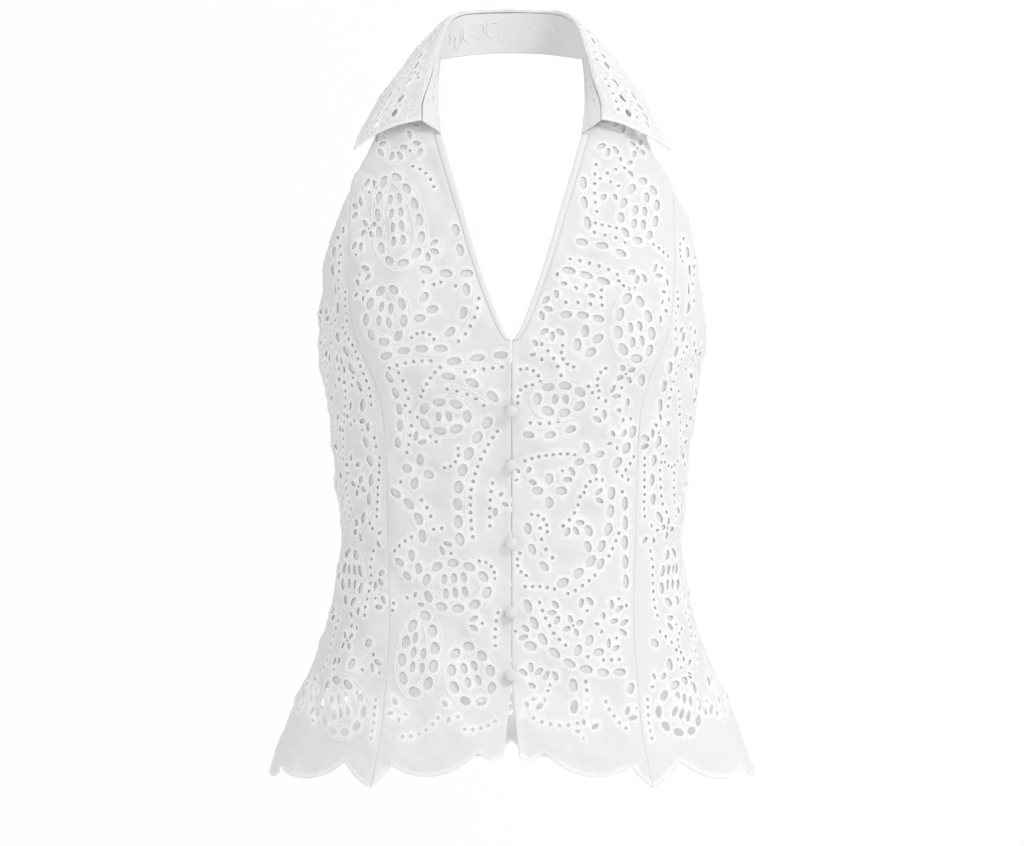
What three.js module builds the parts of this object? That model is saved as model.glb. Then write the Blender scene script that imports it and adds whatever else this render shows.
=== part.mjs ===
// Halter neck top in white eyelet cotton, worn open and hollow, with a turned-down pointed collar,
// a deep V neck, a front closed by covered ball buttons in loops, princess seams and a scalloped hem.
// Millimetres. X runs to the picture's right, the front faces -Y and Z is up.
// While it is modelled, heights are above the lowest point of the hem. The finished top is then moved
// so that the origin lies inside the back of the neckband, where the wearer's neck carries it.

import * as THREE from 'three';

// Driving sizes
const CLOTH = 1.2;
const SEAM_GAP = 0.3;
const FRONT_GAP = 0.6;
const SLIT_TOP = 82;
const SLIT_HALF = 5.5;
const V_FOOT = 337;
const UNDERARM = 338;
const COLLAR_FRONT = 492;
const NECK_TIP = 553;
const HALF_TURN = Math.PI;
const QUARTER_TURN = Math.PI / 2;
const SQUARENESS = 0.07;
const EDGE_STEP = 9.5;
const INSIDE_STEP = 25;
const EYELET_MARGIN = 2.2;
const EYELET_SPACE = 1.5;
const EYELET_APART = 2.7;
const BINDING_RISE = 0.3;
const LINING = { hem: 78, outer: -2.5, inner: -3.5, spacing: 12 };
const NECK_HOLD = { height: 583, depth: 64.55 };

const BUTTON = { radius: 4.6, halfDepth: 3.3, standOff: 5.6, shank: 1.3, sides: 10, rings: 6 };
const BUTTON_HEIGHTS = [286.5, 246, 187.5, 135.5, 90];
const LOOP = { radius: 0.8, reach: 5.5, bend: 2.5, lift: 1.15, sides: 6, turns: 5 };

// Horizontal sections of the filled-out top. Depths are measured from the side seams' plane.
const SECTIONS = [
  { height: 0, halfWidth: 187, front: 131, back: 127, centre: 0 },
  { height: 46, halfWidth: 172.5, front: 121, back: 118, centre: 0 },
  { height: 92, halfWidth: 152, front: 107, back: 106, centre: 0 },
  { height: 138, halfWidth: 137, front: 95, back: 94, centre: 0 },
  { height: 185, halfWidth: 130, front: 89, back: 88, centre: 0 },
  { height: 231, halfWidth: 134, front: 92, back: 90, centre: 0 },
  { height: 277, halfWidth: 138.5, front: 102, back: 95, centre: 0 },
  { height: 323, halfWidth: 146, front: 114, back: 101, centre: 0 },
  { height: 350, halfWidth: 148.5, front: 117, back: 104, centre: 0 },
  { height: 370, halfWidth: 150, front: 116, back: 104, centre: 0 },
  { height: 393, halfWidth: 150.5, front: 110, back: 104, centre: 0 },
  { height: 416, halfWidth: 149, front: 102, back: 104, centre: 0 },
  { height: 439, halfWidth: 145.5, front: 92.5, back: 100, centre: 0 },
  { height: 462, halfWidth: 139, front: 83, back: 96, centre: 0 },
  { height: 485, halfWidth: 130, front: 73.5, back: 90, centre: 0 },
  { height: 504, halfWidth: 119, front: 65.5, back: 80, centre: 0.5 },
  { height: 516, halfWidth: 107, front: 61, back: 70, centre: 2 },
  { height: 530, halfWidth: 92, front: 56, back: 62, centre: 4 },
  { height: 543, halfWidth: 77, front: 53, back: 60, centre: 6 },
  { height: 556, halfWidth: 64, front: 50, back: 58, centre: 8.5 },
];

// Fullness that the princess seams give at the bust, on each side of the centre.
const BUST = { height: 352, angle: 0.66, rise: 48, spread: 0.36, fullness: 8 };

// Soft flutes of the flared hem. They die out below the waist.
const FLUTES = { count: 11, depth: 2.6, reach: 120, phase: 0.4 };

// Half widths, seen from the front, of the lines that the top is cut along.
const NECKLINE = [
  { height: 337, half: 0.6 },
  { height: 343, half: 5.2 },
  { height: 365, half: 14.3 },
  { height: 387, half: 22 },
  { height: 410, half: 29 },
  { height: 433, half: 35.6 },
  { height: 456, half: 42.5 },
  { height: 480, half: 49.3 },
  { height: 492, half: 52.7 },
  { height: 504, half: 54.2 },
  { height: 516, half: 55.4 },
  { height: 530, half: 55.6 },
  { height: 543, half: 55.2 },
  { height: 553, half: 54.4 },
];
const PRINCESS_SEAM = [
  { height: 0, half: 105 },
  { height: 22, half: 101 },
  { height: 50, half: 96 },
  { height: 90, half: 93 },
  { height: 127, half: 91 },
  { height: 185, half: 92.5 },
  { height: 235, half: 93.5 },
  { height: 279, half: 95.5 },
  { height: 307, half: 102 },
  { height: 330, half: 112 },
  { height: 352, half: 118.5 },
  { height: 384, half: 121.5 },
  { height: 412, half: 122 },
  { height: 445, half: 121.5 },
];

// Length on the cloth from the centre back to the seams of the back.
const BACK_SEAM = [
  { height: 0, along: 126 },
  { height: 19, along: 122 },
  { height: 46, along: 113 },
  { height: 92, along: 97 },
  { height: 138, along: 84 },
  { height: 185, along: 78 },
  { height: 231, along: 80 },
  { height: 277, along: 85 },
  { height: 323, along: 92 },
  { height: 345, along: 96 },
];

// Turn from the centre front, in degrees, of the armhole's edge.
const ARMHOLE = [
  { height: 338, turn: 91 },
  { height: 343, turn: 84 },
  { height: 354, turn: 78.5 },
  { height: 370, turn: 73.5 },
  { height: 393, turn: 68.5 },
  { height: 416, turn: 64.5 },
  { height: 439, turn: 59.5 },
  { height: 445, turn: 58.2 },
  { height: 462, turn: 55.5 },
  { height: 485, turn: 53 },
  { height: 508, turn: 53 },
  { height: 530, turn: 56 },
  { height: 545, turn: 59.5 },
  { height: 553, turn: 60.8 },
];

// Scallops of the hem from the centre front to the side seam, by the half width of their ends.
const FRONT_SCALLOPS = [
  { from: 5.5, to: 24, start: 33, end: 35, drop: 4 },
  { from: 24, to: 88.5, start: 35, end: 25, drop: 12 },
  { from: 88.5, to: 104.5, start: 25, end: 9, drop: 2 },
  { from: 104.5, to: 123.5, start: 9, end: 26, drop: 2 },
  { from: 123.5, to: 173, start: 26, end: 19, drop: 11 },
  { from: 173, to: 187, start: 19, end: 6, drop: 3 },
];
const BACK_SCALLOPS = { notch: 21, sideLow: 6, centreCount: 4, sideCount: 2, drop: 13, sideDrop: 4 };

// Lower seam and roll line of the collar's stand, from the front end to the centre back.
const STAND = [
  { seam: 492, roll: [66.4, -69, 501.5] },
  { seam: 506, roll: [66, -61, 516] },
  { seam: 524, roll: [60.4, -49, 535] },
  { seam: 541, roll: [56, -34, 555] },
  { seam: 552, roll: [52.4, -15, 570.5] },
  { foot: [53.6, 8, 554.5], roll: [48, 8, 581.5] },
  { foot: [47.6, 30, 557.5], roll: [43, 31, 588] },
  { foot: [38, 47, 560.3], roll: [35.5, 48, 592.3] },
  { foot: [21.5, 59.5, 563.2], roll: [20.5, 60.8, 594.8] },
  { foot: [0, 64.4, 564.2], roll: [0, 66, 595.8] },
];
const STAND_LIFT = 0.95;

// Outer edge of the collar's leaf at the same places along the roll line.
const LEAF_EDGE = [
  [119, -49, 481],
  [115, -44, 492],
  [109.2, -37, 503.5],
  [103, -26, 516.5],
  [96, -11, 528.5],
  [86.5, 13, 539.5],
  [74.5, 40, 549.5],
  [57.5, 60, 558.5],
  [31, 72, 565.5],
  [0, 76, 568],
];
const ROLL_GAP = 0.7;
const LEAF_ROLL = 1.9;
const LEAF_BELLY = 3.5;

// Eyelets are worked along a bowed line, round a ring, as a rosette or as paired leaves.
// Places on the fronts are seen from the front; on the sides and the back they follow the cloth.
const RIGHT_FRONT_CHART = [
  { kind: 'chain', x: 54.5, height: 470, toX: 56, toHeight: 424, bow: -2, long: 10, wide: 5.4 },
  {
    kind: 'ring', x: 95, height: 434, across: 17, up: 23, turn: -8, pinch: 0.3,
    curl: 0.1, long: 8.6, wide: 5.6,
  },
  { kind: 'chain', x: 52, height: 410, toX: 80, toHeight: 401, bow: 1, long: 9.4, wide: 5.4 },
  { kind: 'chain', x: 42, height: 388, toX: 68, toHeight: 381, bow: 1, long: 10.4, wide: 5.4 },
  { kind: 'ring', x: 91, height: 347, across: 16.5, up: 23, turn: 8, pinch: 0.35, long: 9.6, wide: 6.8 },
  { kind: 'leaf', x: 56, height: 336, turn: -30, pairs: 2, step: 11.5, spread: 5.6, long: 9.2, wide: 6 },
  { kind: 'chain', x: 40, height: 356, toX: 64, toHeight: 353, bow: 1, long: 9, wide: 5.2 },
  { kind: 'ring', x: 36, height: 294, across: 17, up: 10.5, long: 9.6, wide: 6.4 },
  { kind: 'chain', x: 12.5, height: 268, toX: 44, toHeight: 271, bow: -2, long: 8.6, wide: 5.6 },
  { kind: 'chain', x: 96, height: 308, toX: 78, toHeight: 247, bow: 6, long: 9.6, wide: 6.2 },
  { kind: 'rosette', x: 28, height: 226, radius: 8.8, turn: 0, count: 4, long: 8.6, wide: 6.2 },
  { kind: 'chain', x: 74, height: 224, toX: 38, toHeight: 158, bow: 13, long: 9.8, wide: 6.6 },
  { kind: 'chain', x: 85, height: 216, toX: 85, toHeight: 158, bow: 0, long: 10.4, wide: 5.2 },
  { kind: 'leaf', x: 62, height: 184, turn: -4, pairs: 3, step: 12, spread: 6, long: 9, wide: 5.4 },
  { kind: 'chain', x: 12, height: 141, toX: 80, toHeight: 92, bow: -17, long: 9.8, wide: 5.8 },
  {
    kind: 'leaf', x: 52, height: 104, turn: -52, pairs: 3, step: 11.5,
    spread: 5.6, long: 8.8, wide: 5.8,
  },
  { kind: 'chain', x: 14, height: 112, toX: 46, toHeight: 68, bow: 12, long: 9.6, wide: 6.2 },
  { kind: 'rosette', x: 58, height: 250, radius: 8.4, turn: 20, count: 4, long: 7.8, wide: 5.4 },
  { kind: 'chain', x: 12, height: 198, toX: 24, toHeight: 170, bow: -3, long: 8.6, wide: 5.6 },
  { kind: 'chain', x: 88, height: 128, toX: 88, toHeight: 80, bow: 3, long: 9, wide: 5.6 },
];
const LEFT_FRONT_CHART = [
  {
    kind: 'ring', x: 84, height: 427, across: 21, up: 34, turn: -6, pinch: 0.35,
    curl: 0.15, long: 9.4, wide: 5.8,
  },
  { kind: 'chain', x: 45, height: 448, toX: 38, toHeight: 404, bow: 1, long: 9.4, wide: 5.6 },
  { kind: 'chain', x: 33, height: 386, toX: 63, toHeight: 389, bow: -1, long: 9.8, wide: 6 },
  { kind: 'ring', x: 93, height: 356, across: 18, up: 20, turn: 10, pinch: 0.3, long: 9.2, wide: 6 },
  { kind: 'chain', x: 33, height: 374, toX: 45, toHeight: 343, bow: -4, long: 9, wide: 5.6 },
  { kind: 'leaf', x: 66, height: 361, turn: 55, pairs: 2, step: 11.5, spread: 5.4, long: 9, wide: 5.8 },
  { kind: 'chain', x: 52, height: 331, toX: 92, toHeight: 326, bow: 2, long: 10.4, wide: 5.4 },
  { kind: 'chain', x: 8, height: 326, toX: 42, toHeight: 322, bow: 0, long: 10.8, wide: 5.6 },
  { kind: 'chain', x: 14, height: 296, toX: 46, toHeight: 311, bow: 3, long: 10.4, wide: 6 },
  { kind: 'ring', x: 50, height: 281, across: 17.5, up: 11, long: 10, wide: 6.4 },
  { kind: 'chain', x: 18, height: 276, toX: 38, toHeight: 190, bow: 10, long: 9.8, wide: 7 },
  { kind: 'rosette', x: 70, height: 240, radius: 9, turn: 14, count: 4, long: 8.8, wide: 6.4 },
  { kind: 'chain', x: 86, height: 224, toX: 66, toHeight: 192, bow: -5, long: 10, wide: 6.4 },
  {
    kind: 'ring', x: 40, height: 156, across: 26, up: 17, turn: -6, pinch: 0.2,
    curl: 0.2, long: 9.2, wide: 6.2,
  },
  { kind: 'ring', x: 68, height: 106, across: 15, up: 28, turn: 6, pinch: 0.35, long: 9.6, wide: 6.8 },
  { kind: 'ring', x: 30, height: 92, across: 17, up: 21, turn: -16, pinch: 0.3, long: 8.6, wide: 6.4 },
  { kind: 'chain', x: 90, height: 310, toX: 84, toHeight: 262, bow: -4, long: 8.8, wide: 5.4 },
  {
    kind: 'leaf', x: 76, height: 170, turn: -30, pairs: 2, step: 11.5,
    spread: 5.4, long: 8.4, wide: 5.4,
  },
];
const SIDE_FRONT_CHART = [
  { kind: 'chain', x: 148, height: 404, toX: 151, toHeight: 362, bow: 2, long: 8.8, wide: 5.6 },
  { kind: 'chain', x: 146, height: 340, toX: 120, toHeight: 289, bow: -6, long: 9.2, wide: 5.8 },
  { kind: 'chain', x: 117, height: 262, toX: 120, toHeight: 205, bow: -6, long: 9.2, wide: 5.6 },
  { kind: 'ring', x: 136, height: 160, across: 14, up: 20, pinch: 0.3, long: 8.8, wide: 5.8 },
  {
    kind: 'ring', x: 134, height: 66, across: 24, up: 19, turn: -14, pinch: 0.3,
    curl: 0.25, long: 9.2, wide: 6,
  },
  { kind: 'chain', x: 112, height: 112, toX: 126, toHeight: 96, bow: 2, long: 8.6, wide: 5.4 },
];
const CENTRE_BACK_CHART = [
  {
    kind: 'ring', x: 40, height: 262, across: 18, up: 27, turn: -6, pinch: 0.35,
    curl: 0.15, long: 9.4, wide: 6.1,
  },
];
// Places on the leaf are along the roll from its front edge and down from the roll.
const LEAF_CHART = [
  { kind: 'chain', x: 13, height: 22, toX: 42, toHeight: 20, bow: 0, long: 7.7, wide: 5.2 },
  { kind: 'chain', x: 11, height: 38, toX: 42, toHeight: 37, bow: 2, long: 7.7, wide: 5.2 },
];

// Half widths between the lines where the parts of the front meet.
const BINDING_WIDTH = [
  { height: 337, width: 3.4 },
  { height: 380, width: 4.2 },
  { height: 430, width: 4.8 },
  { height: 492, width: 5.4 },
];
const BACK_TOP = [
  { along: 0, height: 322 },
  { along: 60, height: 325 },
  { along: 120, height: 332 },
  { along: 190, height: 338 },
];

// Material
const COTTON = { color: '#f1eeea', roughness: 0.86, metalness: 0 };
const LINING_COTTON = { color: '#f2f0ed', roughness: 0.9, metalness: 0 };
const COVERED = { color: '#f4f1ec', roughness: 0.7, metalness: 0 };

const radians = (degrees) => (degrees * HALF_TURN) / 180;
const clamp = (value, low, high) => Math.min(high, Math.max(low, value));

// Smooth value of a column between the rows of a table
function columnAt(rows, key, column, place) {
  const last = rows.length - 1;
  if (place <= rows[0][key]) return rows[0][column];
  if (place >= rows[last][key]) return rows[last][column];
  let i = 0;
  while (rows[i + 1][key] < place) i += 1;
  const slope = (a, b) => (rows[b][column] - rows[a][column]) / (rows[b][key] - rows[a][key]);
  const middle = slope(i, i + 1);
  const limit = (outer) => (outer * middle <= 0 ? 0 : (2 * outer * middle) / (outer + middle));
  const first = i > 0 ? limit(slope(i - 1, i)) : middle;
  const second = i + 1 < last ? limit(slope(i + 1, i + 2)) : middle;
  const length = rows[i + 1][key] - rows[i][key];
  const t = (place - rows[i][key]) / length;
  const [t2, t3] = [t * t, t * t * t];
  return (
    rows[i][column] * (2 * t3 - 3 * t2 + 1) +
    rows[i + 1][column] * (3 * t2 - 2 * t3) +
    length * first * (t3 - 2 * t2 + t) +
    length * second * (t3 - t2)
  );
}

const smoothSection = new Map();

// Sizes of the section at one height
function sectionAt(height) {
  const place = Math.round(height * 100) / 100;
  if (!smoothSection.has(place)) {
    const row = {};
    for (const column of ['halfWidth', 'front', 'back', 'centre']) {
      row[column] = columnAt(SECTIONS, 'height', column, place);
    }
    smoothSection.set(place, row);
  }
  return smoothSection.get(place);
}

// Point of the outer face at a turn from the centre front and a height
function facePoint(turn, height) {
  const { halfWidth, front, back, centre } = sectionAt(height);
  const power = 1 - SQUARENESS;
  const [sine, cosine] = [Math.sin(turn), Math.cos(turn)];
  const x = Math.sign(sine) * Math.abs(sine) ** power;
  const y = -Math.sign(cosine) * Math.abs(cosine) ** power;
  const depth = cosine > 0 ? front : back;
  const bust =
    BUST.fullness *
    Math.exp(-(((height - BUST.height) / BUST.rise) ** 2)) *
    Math.exp(-(((Math.abs(turn) - BUST.angle) / BUST.spread) ** 2));
  const fade = clamp(1 - height / FLUTES.reach, 0, 1) ** 2;
  const swell = bust + FLUTES.depth * fade * Math.cos(FLUTES.count * turn + FLUTES.phase);
  return new THREE.Vector3(
    x * halfWidth + swell * sine,
    centre + y * depth - swell * cosine,
    height,
  );
}

// Point at a distance out from the outer face
function clothPoint(turn, height, out) {
  const point = facePoint(turn, height);
  const along = facePoint(turn + 0.01, height).sub(facePoint(turn - 0.01, height));
  const upward = facePoint(turn, height + 1).sub(facePoint(turn, height - 1));
  return point.addScaledVector(along.cross(upward).normalize(), out);
}

const ARC_STEPS = 90;
const arcTables = new Map();

// Lengths round the section, from the centre front or the centre back to the side
function arcTable(height, side, start) {
  const key = `${Math.round(height * 100)}:${side}:${start}`;
  if (!arcTables.has(key)) {
    const lengths = [0];
    let before = facePoint(side * start, height);
    const way = start === 0 ? 1 : -1;
    for (let i = 1; i <= ARC_STEPS; i += 1) {
      const turn = side * (start + (way * QUARTER_TURN * 1.04 * i) / ARC_STEPS);
      const point = facePoint(turn, height);
      lengths.push(lengths[i - 1] + point.distanceTo(before));
      before = point;
    }
    arcTables.set(key, lengths);
  }
  return arcTables.get(key);
}

// Turn that a length round the cloth reaches
function turnAt(along, height, start) {
  const side = along < 0 ? -1 : 1;
  const lengths = arcTable(height, side, start);
  const wanted = Math.abs(along);
  let i = 1;
  while (i < ARC_STEPS && lengths[i] < wanted) i += 1;
  const part = (wanted - lengths[i - 1]) / (lengths[i] - lengths[i - 1]);
  const share = ((i - 1 + part) * QUARTER_TURN * 1.04) / ARC_STEPS;
  return side * (start === 0 ? share : start - share);
}

// Length round the cloth at a turn
function alongAt(turn, height, start) {
  const side = turn < 0 ? -1 : 1;
  const lengths = arcTable(height, side, start);
  const size = Math.abs(turn);
  const place = ((start === 0 ? size : start - size) * ARC_STEPS) / (QUARTER_TURN * 1.04);
  const i = clamp(Math.floor(place), 0, ARC_STEPS - 1);
  return side * (lengths[i] + (lengths[i + 1] - lengths[i]) * (place - i));
}

// Length round the cloth where a line seen from the front crosses it
function alongOfHalf(half, height) {
  const side = half < 0 ? -1 : 1;
  let [low, high] = [0, QUARTER_TURN];
  for (let i = 0; i < 30; i += 1) {
    const middle = (low + high) / 2;
    if (Math.abs(facePoint(side * middle, height).x) < Math.abs(half)) low = middle;
    else high = middle;
  }
  return alongAt(side * low, height, 0);
}

const sideAlong = (side, height) => alongAt(side * QUARTER_TURN, height, 0);
const backReach = (side, height) => alongAt(side * QUARTER_TURN, height, HALF_TURN);
const frontCloth = (along, height, out) => clothPoint(turnAt(along, height, 0), height, out);
const backCloth = (along, height, out) => clothPoint(turnAt(-along, height, HALF_TURN), height, out);

const seamAlong = (side, height) =>
  alongOfHalf(side * columnAt(PRINCESS_SEAM, 'height', 'half', height), height);
const neckAlong = (side, height) =>
  alongOfHalf(side * columnAt(NECKLINE, 'height', 'half', height), height);
const armAlong = (side, height) =>
  alongAt(side * radians(Math.min(90, columnAt(ARMHOLE, 'height', 'turn', height))), height, 0);
const bindingWidth = (height) => columnAt(BINDING_WIDTH, 'height', 'width', height);

// Even heights from one level to another
function levels(from, to, step) {
  const count = Math.max(1, Math.round(Math.abs(to - from) / step));
  return Array.from({ length: count + 1 }, (_, i) => from + ((to - from) * i) / count);
}

// Corners of the circle through three flat points, with its centre
function circleThrough(points, a, b, c) {
  const [[ax, ay], [bx, by], [cx, cy]] = [points[a], points[b], points[c]];
  const area = 2 * ((bx - ax) * (cy - ay) - (by - ay) * (cx - ax));
  const [first, second] = [(bx - ax) ** 2 + (by - ay) ** 2, (cx - ax) ** 2 + (cy - ay) ** 2];
  const x = ax + ((cy - ay) * first - (by - ay) * second) / area;
  const y = ay + ((bx - ax) * second - (cx - ax) * first) / area;
  return { corners: [a, b, c], x, y, square: (x - ax) ** 2 + (y - ay) ** 2 };
}

// Well-shaped triangles between flat points, counter-clockwise
function triangulate(flat) {
  const nudge = (i) => 0.003 * Math.sin(i * 12.9898);
  const points = flat.map(([x, y], i) => [x + nudge(i), y + nudge(i + 0.37)]);
  const count = points.length;
  points.push([-1e5, -1e5], [1e5, -1e5], [0, 1e5]);
  let triangles = [circleThrough(points, count, count + 1, count + 2)];
  for (let i = 0; i < count; i += 1) {
    const edges = new Map();
    const kept = [];
    for (const triangle of triangles) {
      const distance = (points[i][0] - triangle.x) ** 2 + (points[i][1] - triangle.y) ** 2;
      if (distance >= triangle.square) {
        kept.push(triangle);
      } else {
        triangle.corners.forEach((from, k) => {
          const to = triangle.corners[(k + 1) % 3];
          if (!edges.delete(`${to}:${from}`)) edges.set(`${from}:${to}`, [from, to]);
        });
      }
    }
    for (const [from, to] of edges.values()) kept.push(circleThrough(points, from, to, i));
    triangles = kept;
  }
  return triangles.map(({ corners }) => corners).filter((corners) => Math.max(...corners) < count);
}

// Whether a flat point lies inside a loop
function isInside([x, y], loop) {
  let inside = false;
  loop.forEach(([ax, ay], i) => {
    const [bx, by] = loop[(i + 1) % loop.length];
    if (ay > y !== by > y && x < ax + ((bx - ax) * (y - ay)) / (by - ay)) inside = !inside;
  });
  return inside;
}

// Distance from a flat point to the nearest side of a loop
function distanceToLoop([x, y], loop) {
  let least = Infinity;
  loop.forEach(([ax, ay], i) => {
    const [bx, by] = loop[(i + 1) % loop.length];
    const square = (bx - ax) ** 2 + (by - ay) ** 2;
    const t = clamp(((x - ax) * (bx - ax) + (y - ay) * (by - ay)) / square, 0, 1);
    least = Math.min(least, Math.hypot(ax + t * (bx - ax) - x, ay + t * (by - ay) - y));
  });
  return least;
}

// Grid of points that keep their distance from every edge
function insidePoints(loops, step) {
  const [border, ...holes] = loops;
  const xs = border.map(([x]) => x);
  const ys = border.map(([, y]) => y);
  const points = [];
  const rise = step * 0.866;
  const rows = Math.ceil((Math.max(...ys) - Math.min(...ys)) / rise);
  const columns = Math.ceil((Math.max(...xs) - Math.min(...xs)) / step);
  for (let row = 0; row <= rows; row += 1) {
    for (let column = 0; column <= columns; column += 1) {
      const x = Math.min(...xs) + (column + (row % 2) / 2) * step;
      const point = [x, Math.min(...ys) + row * rise];
      const free = (loop) => distanceToLoop(point, loop) > step * 0.3;
      if (isInside(point, border) && free(border) && holes.every(free)) points.push(point);
    }
  }
  return points;
}

// Sides of the loops that the triangles miss
function missingSides(loops, starts, triangles) {
  const present = new Set();
  for (const corners of triangles) {
    corners.forEach((from, k) => present.add(`${from}:${corners[(k + 1) % 3]}`));
  }
  const missing = [];
  loops.forEach((loop, index) => {
    loop.forEach((point, i) => {
      const from = starts[index] + i;
      const to = starts[index] + ((i + 1) % loop.length);
      if (!present.has(`${from}:${to}`) && !present.has(`${to}:${from}`)) missing.push([index, i]);
    });
  });
  return missing;
}

// Triangles of a flat panel with openings. A side that they miss is halved until none is missed.
function panelTriangles(loops, extra) {
  const [border, ...holes] = loops;
  for (let round = 0; ; round += 1) {
    const starts = [];
    const points = [];
    for (const loop of loops) {
      starts.push(points.length);
      points.push(...loop);
    }
    points.push(...extra);
    const inCloth = ([a, b, c]) => {
      const [[ax, ay], [bx, by], [cx, cy]] = [points[a], points[b], points[c]];
      const middle = [(ax + bx + cx) / 3, (ay + by + cy) / 3];
      const area = (bx - ax) * (cy - ay) - (by - ay) * (cx - ax);
      return area > 0.02 && isInside(middle, border) && !holes.some((hole) => isInside(middle, hole));
    };
    const triangles = triangulate(points).filter(inCloth);
    const missing = missingSides(loops, starts, triangles);
    if (missing.length === 0 || round === 6) return { points, triangles };
    for (const [index, i] of missing.reverse()) {
      const loop = loops[index];
      const next = loop[(i + 1) % loop.length];
      loop.splice(i + 1, 0, [(loop[i][0] + next[0]) / 2, (loop[i][1] + next[1]) / 2]);
    }
  }
}

// Closed solid of a flat panel that is bent onto its form, with a wall round every opening
function clothSolid({ points, triangles }, place, outer, inner) {
  const used = [...new Set(triangles.flat())];
  const order = new Map(used.map((index, i) => [index, i]));
  const positions = [];
  for (const out of [outer, inner]) {
    for (const index of used) positions.push(...place(...points[index], out).toArray());
  }
  const count = used.length;
  const faces = [];
  const edges = new Map();
  for (const corners of triangles) {
    const [a, b, c] = corners.map((corner) => order.get(corner));
    faces.push([a, b, c], [a + count, c + count, b + count]);
    for (const [from, to] of [[a, b], [b, c], [c, a]]) {
      if (!edges.delete(`${to}:${from}`)) edges.set(`${from}:${to}`, [from, to]);
    }
  }
  for (const [from, to] of edges.values()) {
    faces.push([to, from, from + count], [to, from + count, to + count]);
  }
  return { positions, faces };
}

// Corners of one eyelet: six, with its full length and width
function eyeletLoop({ x, y, angle, long, wide }) {
  const [cosine, sine] = [Math.cos(angle), Math.sin(angle)];
  const corners = [[0.5, 0], [0.25, 0.5], [-0.25, 0.5], [-0.5, 0], [-0.25, -0.5], [0.25, -0.5]];
  return corners.map(([u, v]) => [
    x + u * long * cosine - v * wide * sine,
    y + u * long * sine + v * wide * cosine,
  ]);
}

// Places set evenly along a line of points
function evenPlaces(points, pitch, closed) {
  const lengths = [0];
  for (let i = 1; i < points.length; i += 1) {
    const [[ax, ay], [bx, by]] = [points[i - 1], points[i]];
    lengths.push(lengths[i - 1] + Math.hypot(bx - ax, by - ay));
  }
  const total = lengths.at(-1);
  const count = closed ? Math.floor(total / pitch) : Math.max(2, Math.floor(total / pitch) + 1);
  return Array.from({ length: count }, (_, i) => {
    const wanted = total * (closed ? (i + 0.5) / count : i / (count - 1));
    const k = Math.max(1, lengths.findIndex((length) => length >= wanted - 1e-9));
    const [[ax, ay], [bx, by]] = [points[k - 1], points[k]];
    const t = (wanted - lengths[k - 1]) / (lengths[k] - lengths[k - 1]);
    return { x: ax + (bx - ax) * t, y: ay + (by - ay) * t, angle: Math.atan2(by - ay, bx - ax) };
  });
}

// Eyelets along a bowed line
function chainEyelets(row, start, end) {
  const [dx, dy] = [end[0] - start[0], end[1] - start[1]];
  const length = Math.hypot(dx, dy);
  const points = Array.from({ length: 81 }, (_, i) => {
    const t = i / 80;
    const bow = row.bow * 4 * t * (1 - t);
    return [start[0] + dx * t - (dy / length) * bow, start[1] + dy * t + (dx / length) * bow];
  });
  return evenPlaces(points, row.long + EYELET_APART, false);
}

// Eyelets round a tilted oval, which may narrow to a drop and curl at its top
function ringEyelets(row, centre) {
  const turn = radians(row.turn ?? 0);
  const points = Array.from({ length: 241 }, (_, i) => {
    const angle = (2 * HALF_TURN * i) / 240;
    const lift = (1 + Math.sin(angle)) / 2;
    const narrow = Math.cos(angle) * (1 - (row.pinch ?? 0) * lift);
    const x = row.across * (narrow + (row.curl ?? 0) * lift * lift);
    const y = row.up * Math.sin(angle);
    return [
      centre[0] + x * Math.cos(turn) - y * Math.sin(turn),
      centre[1] + x * Math.sin(turn) + y * Math.cos(turn),
    ];
  });
  return evenPlaces(points, row.long + EYELET_APART, true);
}

// Eyelets set as the petals of a rosette
function rosetteEyelets(row, centre) {
  return Array.from({ length: row.count }, (_, i) => {
    const angle = radians(row.turn) + QUARTER_TURN + (2 * HALF_TURN * i) / row.count;
    return {
      x: centre[0] + row.radius * Math.cos(angle),
      y: centre[1] + row.radius * Math.sin(angle),
      angle,
    };
  });
}

// Eyelets set in pairs on both sides of a stem
function leafEyelets(row, centre) {
  const stem = QUARTER_TURN + radians(row.turn);
  const [cosine, sine] = [Math.cos(stem), Math.sin(stem)];
  return Array.from({ length: row.pairs * 2 }, (_, i) => {
    const side = i % 2 === 0 ? 1 : -1;
    const along = (Math.floor(i / 2) - (row.pairs - 1) / 2) * row.step;
    return {
      x: centre[0] + along * cosine - side * row.spread * sine,
      y: centre[1] + along * sine + side * row.spread * cosine,
      angle: stem + side * 0.45,
    };
  });
}

// Openings that a chart places on one side of the cloth, all clear of its border and one another
function chartLoops(chart, side, border, findAlong) {
  const loops = [];
  for (const row of chart) {
    const start = [Math.abs(findAlong(side * row.x, row.height)), row.height];
    const end = [Math.abs(findAlong(side * (row.toX ?? 0), row.toHeight ?? 0)), row.toHeight];
    if (row.kind !== 'chain') start[0] *= Math.sign(row.x) || 1;
    const eyelets = {
      chain: () => chainEyelets(row, start, end),
      ring: () => ringEyelets(row, start),
      rosette: () => rosetteEyelets(row, start),
      leaf: () => leafEyelets(row, start),
    }[row.kind]();
    for (const eyelet of eyelets) {
      const loop = eyeletLoop({ ...eyelet, long: row.long, wide: row.wide });
      const placed = side < 0 ? loop.map(([x, y]) => [-x, y]).reverse() : loop;
      const near = (other) => placed.some((p) => distanceToLoop(p, other) < EYELET_SPACE);
      const inCloth = placed.every((p) => isInside(p, border));
      const clear = placed.every((p) => distanceToLoop(p, border) > EYELET_MARGIN);
      if (inCloth && clear && !loops.some(near)) loops.push(placed);
    }
  }
  return loops;
}

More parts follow.
